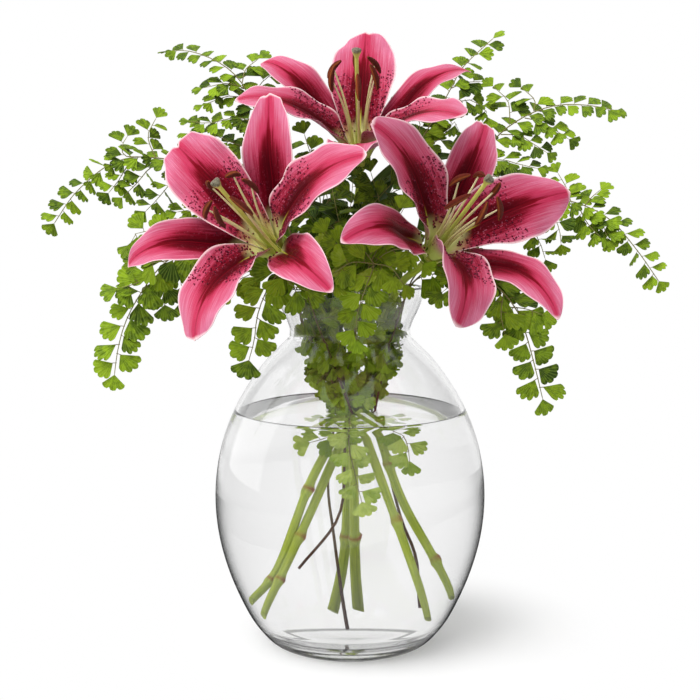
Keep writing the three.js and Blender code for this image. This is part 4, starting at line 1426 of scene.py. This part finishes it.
class LILIES_OT_tepals(bpy.types.Operator):
    """Grow the tepals of the three flowers, with their raised dots"""

    bl_idname = "lilies.tepals"
    bl_label = "Tepals"

    def execute(self, context):
        settings = context.scene.lilies_lily
        materials = {
            "inner": tepal_material("Broad tepal", settings, 1.0),
            "outer": tepal_material("Narrow tepal", settings, 0.25),
            "dots": papilla_material(settings),
        }
        for name, (foot, yaw, pitch, rows) in FLOWERS.items():
            flower_tepals(name, Flower(foot, yaw, pitch), rows, settings, materials)
        return {"FINISHED"}


class LILIES_OT_hearts(bpy.types.Operator):
    """Grow the pistil and the six stamens of each flower"""

    bl_idname = "lilies.hearts"
    bl_label = "Pistils and stamens"

    def execute(self, context):
        pistil, stamen = pistil_material(), stamen_material(context.scene.lilies_lily)
        for name, (foot, yaw, pitch, rows) in FLOWERS.items():
            flower = Flower(foot, yaw, pitch)
            node = f"pistil_{name}"
            finish_piece(f"{node}_green", pistil_shape(flower), [node], "pistil", [pistil])
            for i, row in enumerate(rows):
                node = f"stamen_{name}_{i + 1}"
                shape = stamen_shape(flower, row[1], i)
                finish_piece(f"{node}_ripe", shape, [node], "stamen", [stamen])
        return {"FINISHED"}


class LILIES_OT_fern(bpy.types.Operator):
    """Grow the ten fronds of maidenhair fern"""

    bl_idname = "lilies.fern"
    bl_label = "Maidenhair fern"

    def execute(self, context):
        settings = context.scene.lilies_fern
        green = fern_material(settings)
        sides = [leaflet_mesh(*row) for row in SIDE_LEAFLETS]
        ends = [leaflet_mesh(*row) for row in END_LEAFLETS]
        for name in FRONDS:
            shape = frond_shape(name, (sides, ends), settings)
            finish_piece(f"fern_{name}_frond", shape, [f"fern_{name}"], "fern", [green])
        for kind in sides + ends:
            bpy.data.meshes.remove(kind)
        return {"FINISHED"}


class LILIES_OT_stage(bpy.types.Operator):
    """Set up the table, the surroundings, the lights and the camera"""

    bl_idname = "lilies.stage"
    bl_label = "Stage"

    def execute(self, context):
        settings = context.scene.lilies_stage
        make_floor(settings.floor)
        make_surroundings(context.scene, settings.sky)
        make_light("key_light", (-1.3, -1.3, 3.2), (0, 0, 0.2), 3.2, settings.key)
        make_light("side_panel", (-1.15, -0.42, 0.42), (0, 0, 0.16), 0.8, settings.panel)
        make_camera(context.scene)
        context.scene.view_settings.view_transform = "Standard"
        cycles = context.scene.cycles
        cycles.max_bounces = 18
        cycles.transmission_bounces = 16
        cycles.transparent_max_bounces = 24
        cycles.diffuse_bounces = 4
        cycles.caustics_reflective = False
        return {"FINISHED"}


# ---- stage

CAMERA_PLACE = (0, -0.8, 0.288)
CAMERA_TILT = 6.48  # degrees down
CAMERA_LENS = 61.87
TABLE_CENTRE = (0.1, 0.08, 0)
TABLE_RADIUS = 0.36
FOOT_RING = 0.043  # radius of the ring on which the vase stands
SHADOW_CENTRE = (0.03, 0.015, 0)
SHADOW_FADE = (0.05, 0.155)  # distances between which a painted white glow fades in over the shadow on the table


def make_floor(colour):
    """A round table, white away from the vase where a painted white glow covers its shadow.
    Seen through glass it is a painted glow, darker in front, with a painted shadow round the
    vase's foot ring.
    """
    shape = bmesh.new()
    bmesh.ops.create_circle(
        shape, cap_ends=True, segments=128, radius=TABLE_RADIUS,
        matrix=Matrix.Translation(TABLE_CENTRE),
    )
    mesh = bpy.data.meshes.new("table")
    shape.to_mesh(mesh)
    shape.free()
    table = Material("Pale table")
    tree = table.tree
    colour = coats(colour, (mottle(tree, 3.0).share(0.05), 0xE8E8E8))
    table.shader.fill({"Base Color": colour, "Roughness": 0.6})
    path = put(tree, "LightPath")
    place = put(tree, "TexCoord")["Object"]
    radius = put(tree, "VectorMath", {0: place}, operation="LENGTH")["Value"]
    # painted shadow: a darker ring round the foot ring, seen through glass
    foot = abs(radius - FOOT_RING).fade(0.003, 0.009, 0.3, 1)
    # painted glow seen through glass, darker towards the front
    painted_glow = place.parts()[1].fade(-0.2, -0.1, 0.4, 1.02) * foot
    through = path["Diffuse Depth"].maths("LESS_THAN", 0.5) * path["Is Transmission Ray"]
    table.cover(through, put(tree, "Emission", {"Strength": painted_glow}))
    centre = {0: place, 1: SHADOW_CENTRE}
    reach = put(tree, "VectorMath", centre, operation="DISTANCE")["Value"]
    # painted white glow that covers the table's shadow away from the vase
    far = reach.fade(*SHADOW_FADE) * path["Is Camera Ray"]
    table.cover(far, put(tree, "Emission", {"Strength": 1.0}))
    mesh.materials.append(table.data)
    floor = new_object("table", mesh)
    floor.visible_glossy = False


def make_surroundings(scene, strength):
    """Light from all round, stronger for what stands in the glass. Through the glass it is
    pale in front, behind and above, and darker at the sides. What the glass mirrors is pale
    behind and above, dimmer at the sides and low down, with a tall panel at the left."""
    world = bpy.data.worlds.new("Studio")
    scene.world = world
    world.use_nodes = True
    tree = world.node_tree
    tree.nodes.clear()
    x, y, z = put(tree, "TexCoord")["Generated"].parts()
    path = put(tree, "LightPath")
    passed, camera = path["Is Transmission Ray"], path["Is Camera Ray"]

    def pick(share, first, second):
        return put(tree, "Mix", {0: share, 2: first, 3: second})

    above = z.fade(0.6, 0.9)
    behind = y.fade(0.5, 0.85) | above
    through = abs(y).fade(0.5, 0.85, 0.3, 1.06) | above
    panel = y.fade(-0.22, -0.12) * y.fade(0.55, 0.7, 1, 0)
    panel = panel * x.fade(-0.72, -0.6, 1.9, 0) * z.fade(-0.06, -0.03)
    sides = abs(x).fade(0.35, 0.6, 0, 0.45)
    mirrored = (sides | behind) * z.fade(-0.2, -0.13) | panel | z.fade(-0.62, -0.45, 0.35, 0)
    lit = path["Diffuse Depth"].maths("GREATER_THAN", 0.5)
    lighting = (lit * passed).fade(0, 1, 1, 2.2) * strength
    seen = (path["Is Glossy Ray"] | passed) * lit.fade(0, 1, 1, 0)
    shown = pick(camera, pick(seen, lighting, pick(passed, mirrored, through)), 1.0)
    white = put(tree, "Background", {0: (1, 1, 1, 1), 1: shown})
    put(tree, "OutputWorld", {0: white})


def make_light(name, place, target, size, power):
    data = bpy.data.lights.new(name, "AREA")
    data.shape = "SQUARE"
    data.size = size
    data.energy = power
    lamp = new_object(name, data)
    lamp.location = place
    lamp.visible_transmission = False
    lamp.visible_glossy = False
    lamp.rotation_euler = (Vector(target) - Vector(place)).to_track_quat("-Z", "Y").to_euler()


def make_camera(scene):
    data = bpy.data.cameras.new("camera")
    data.sensor_width = 36
    data.lens = CAMERA_LENS
    camera = new_object("camera", data)
    camera.location = CAMERA_PLACE
    camera.rotation_euler = (radians(90 - CAMERA_TILT), 0, 0)
    scene.camera = camera


# ---- panel

OPERATORS = [
    LILIES_OT_vase, LILIES_OT_water, LILIES_OT_stems, LILIES_OT_tepals, LILIES_OT_hearts,
    LILIES_OT_fern, LILIES_OT_stage,
]
SETTINGS = {
    "lilies_vase": VaseSettings,
    "lilies_lily": LilySettings,
    "lilies_fern": FernSettings,
    "lilies_stage": StageSettings,
}


class LILIES_PT_panel(bpy.types.Panel):
    """Lists the pieces of the arrangement with their sizes and colours"""

    bl_idname = "LILIES_PT_panel"
    bl_label = "Lilies in a vase"
    bl_space_type = "VIEW_3D"
    bl_region_type = "UI"
    bl_category = "Lilies"

    def draw(self, context):
        for operator in OPERATORS:
            self.layout.operator(operator.bl_idname)
        for name, group in SETTINGS.items():
            box = self.layout.box()
            settings = getattr(context.scene, name)
            for prop in group.__annotations__:
                box.prop(settings, prop)


def register():
    for name, group in SETTINGS.items():
        bpy.utils.register_class(group)
        setattr(bpy.types.Scene, name, bpy.props.PointerProperty(type=group))
    for operator in OPERATORS:
        bpy.utils.register_class(operator)
    bpy.utils.register_class(LILIES_PT_panel)


def unregister():
    bpy.utils.unregister_class(LILIES_PT_panel)
    for operator in reversed(OPERATORS):
        bpy.utils.unregister_class(operator)
    for name, group in reversed(SETTINGS.items()):
        delattr(bpy.types.Scene, name)
        bpy.utils.unregister_class(group)


def main():
    register()
    bpy.ops.lilies.vase()
    bpy.ops.lilies.water()
    bpy.ops.lilies.stems()
    bpy.ops.lilies.tepals()
    bpy.ops.lilies.hearts()
    bpy.ops.lilies.fern()
    bpy.ops.lilies.stage()


if __name__ == "__main__":
    main()
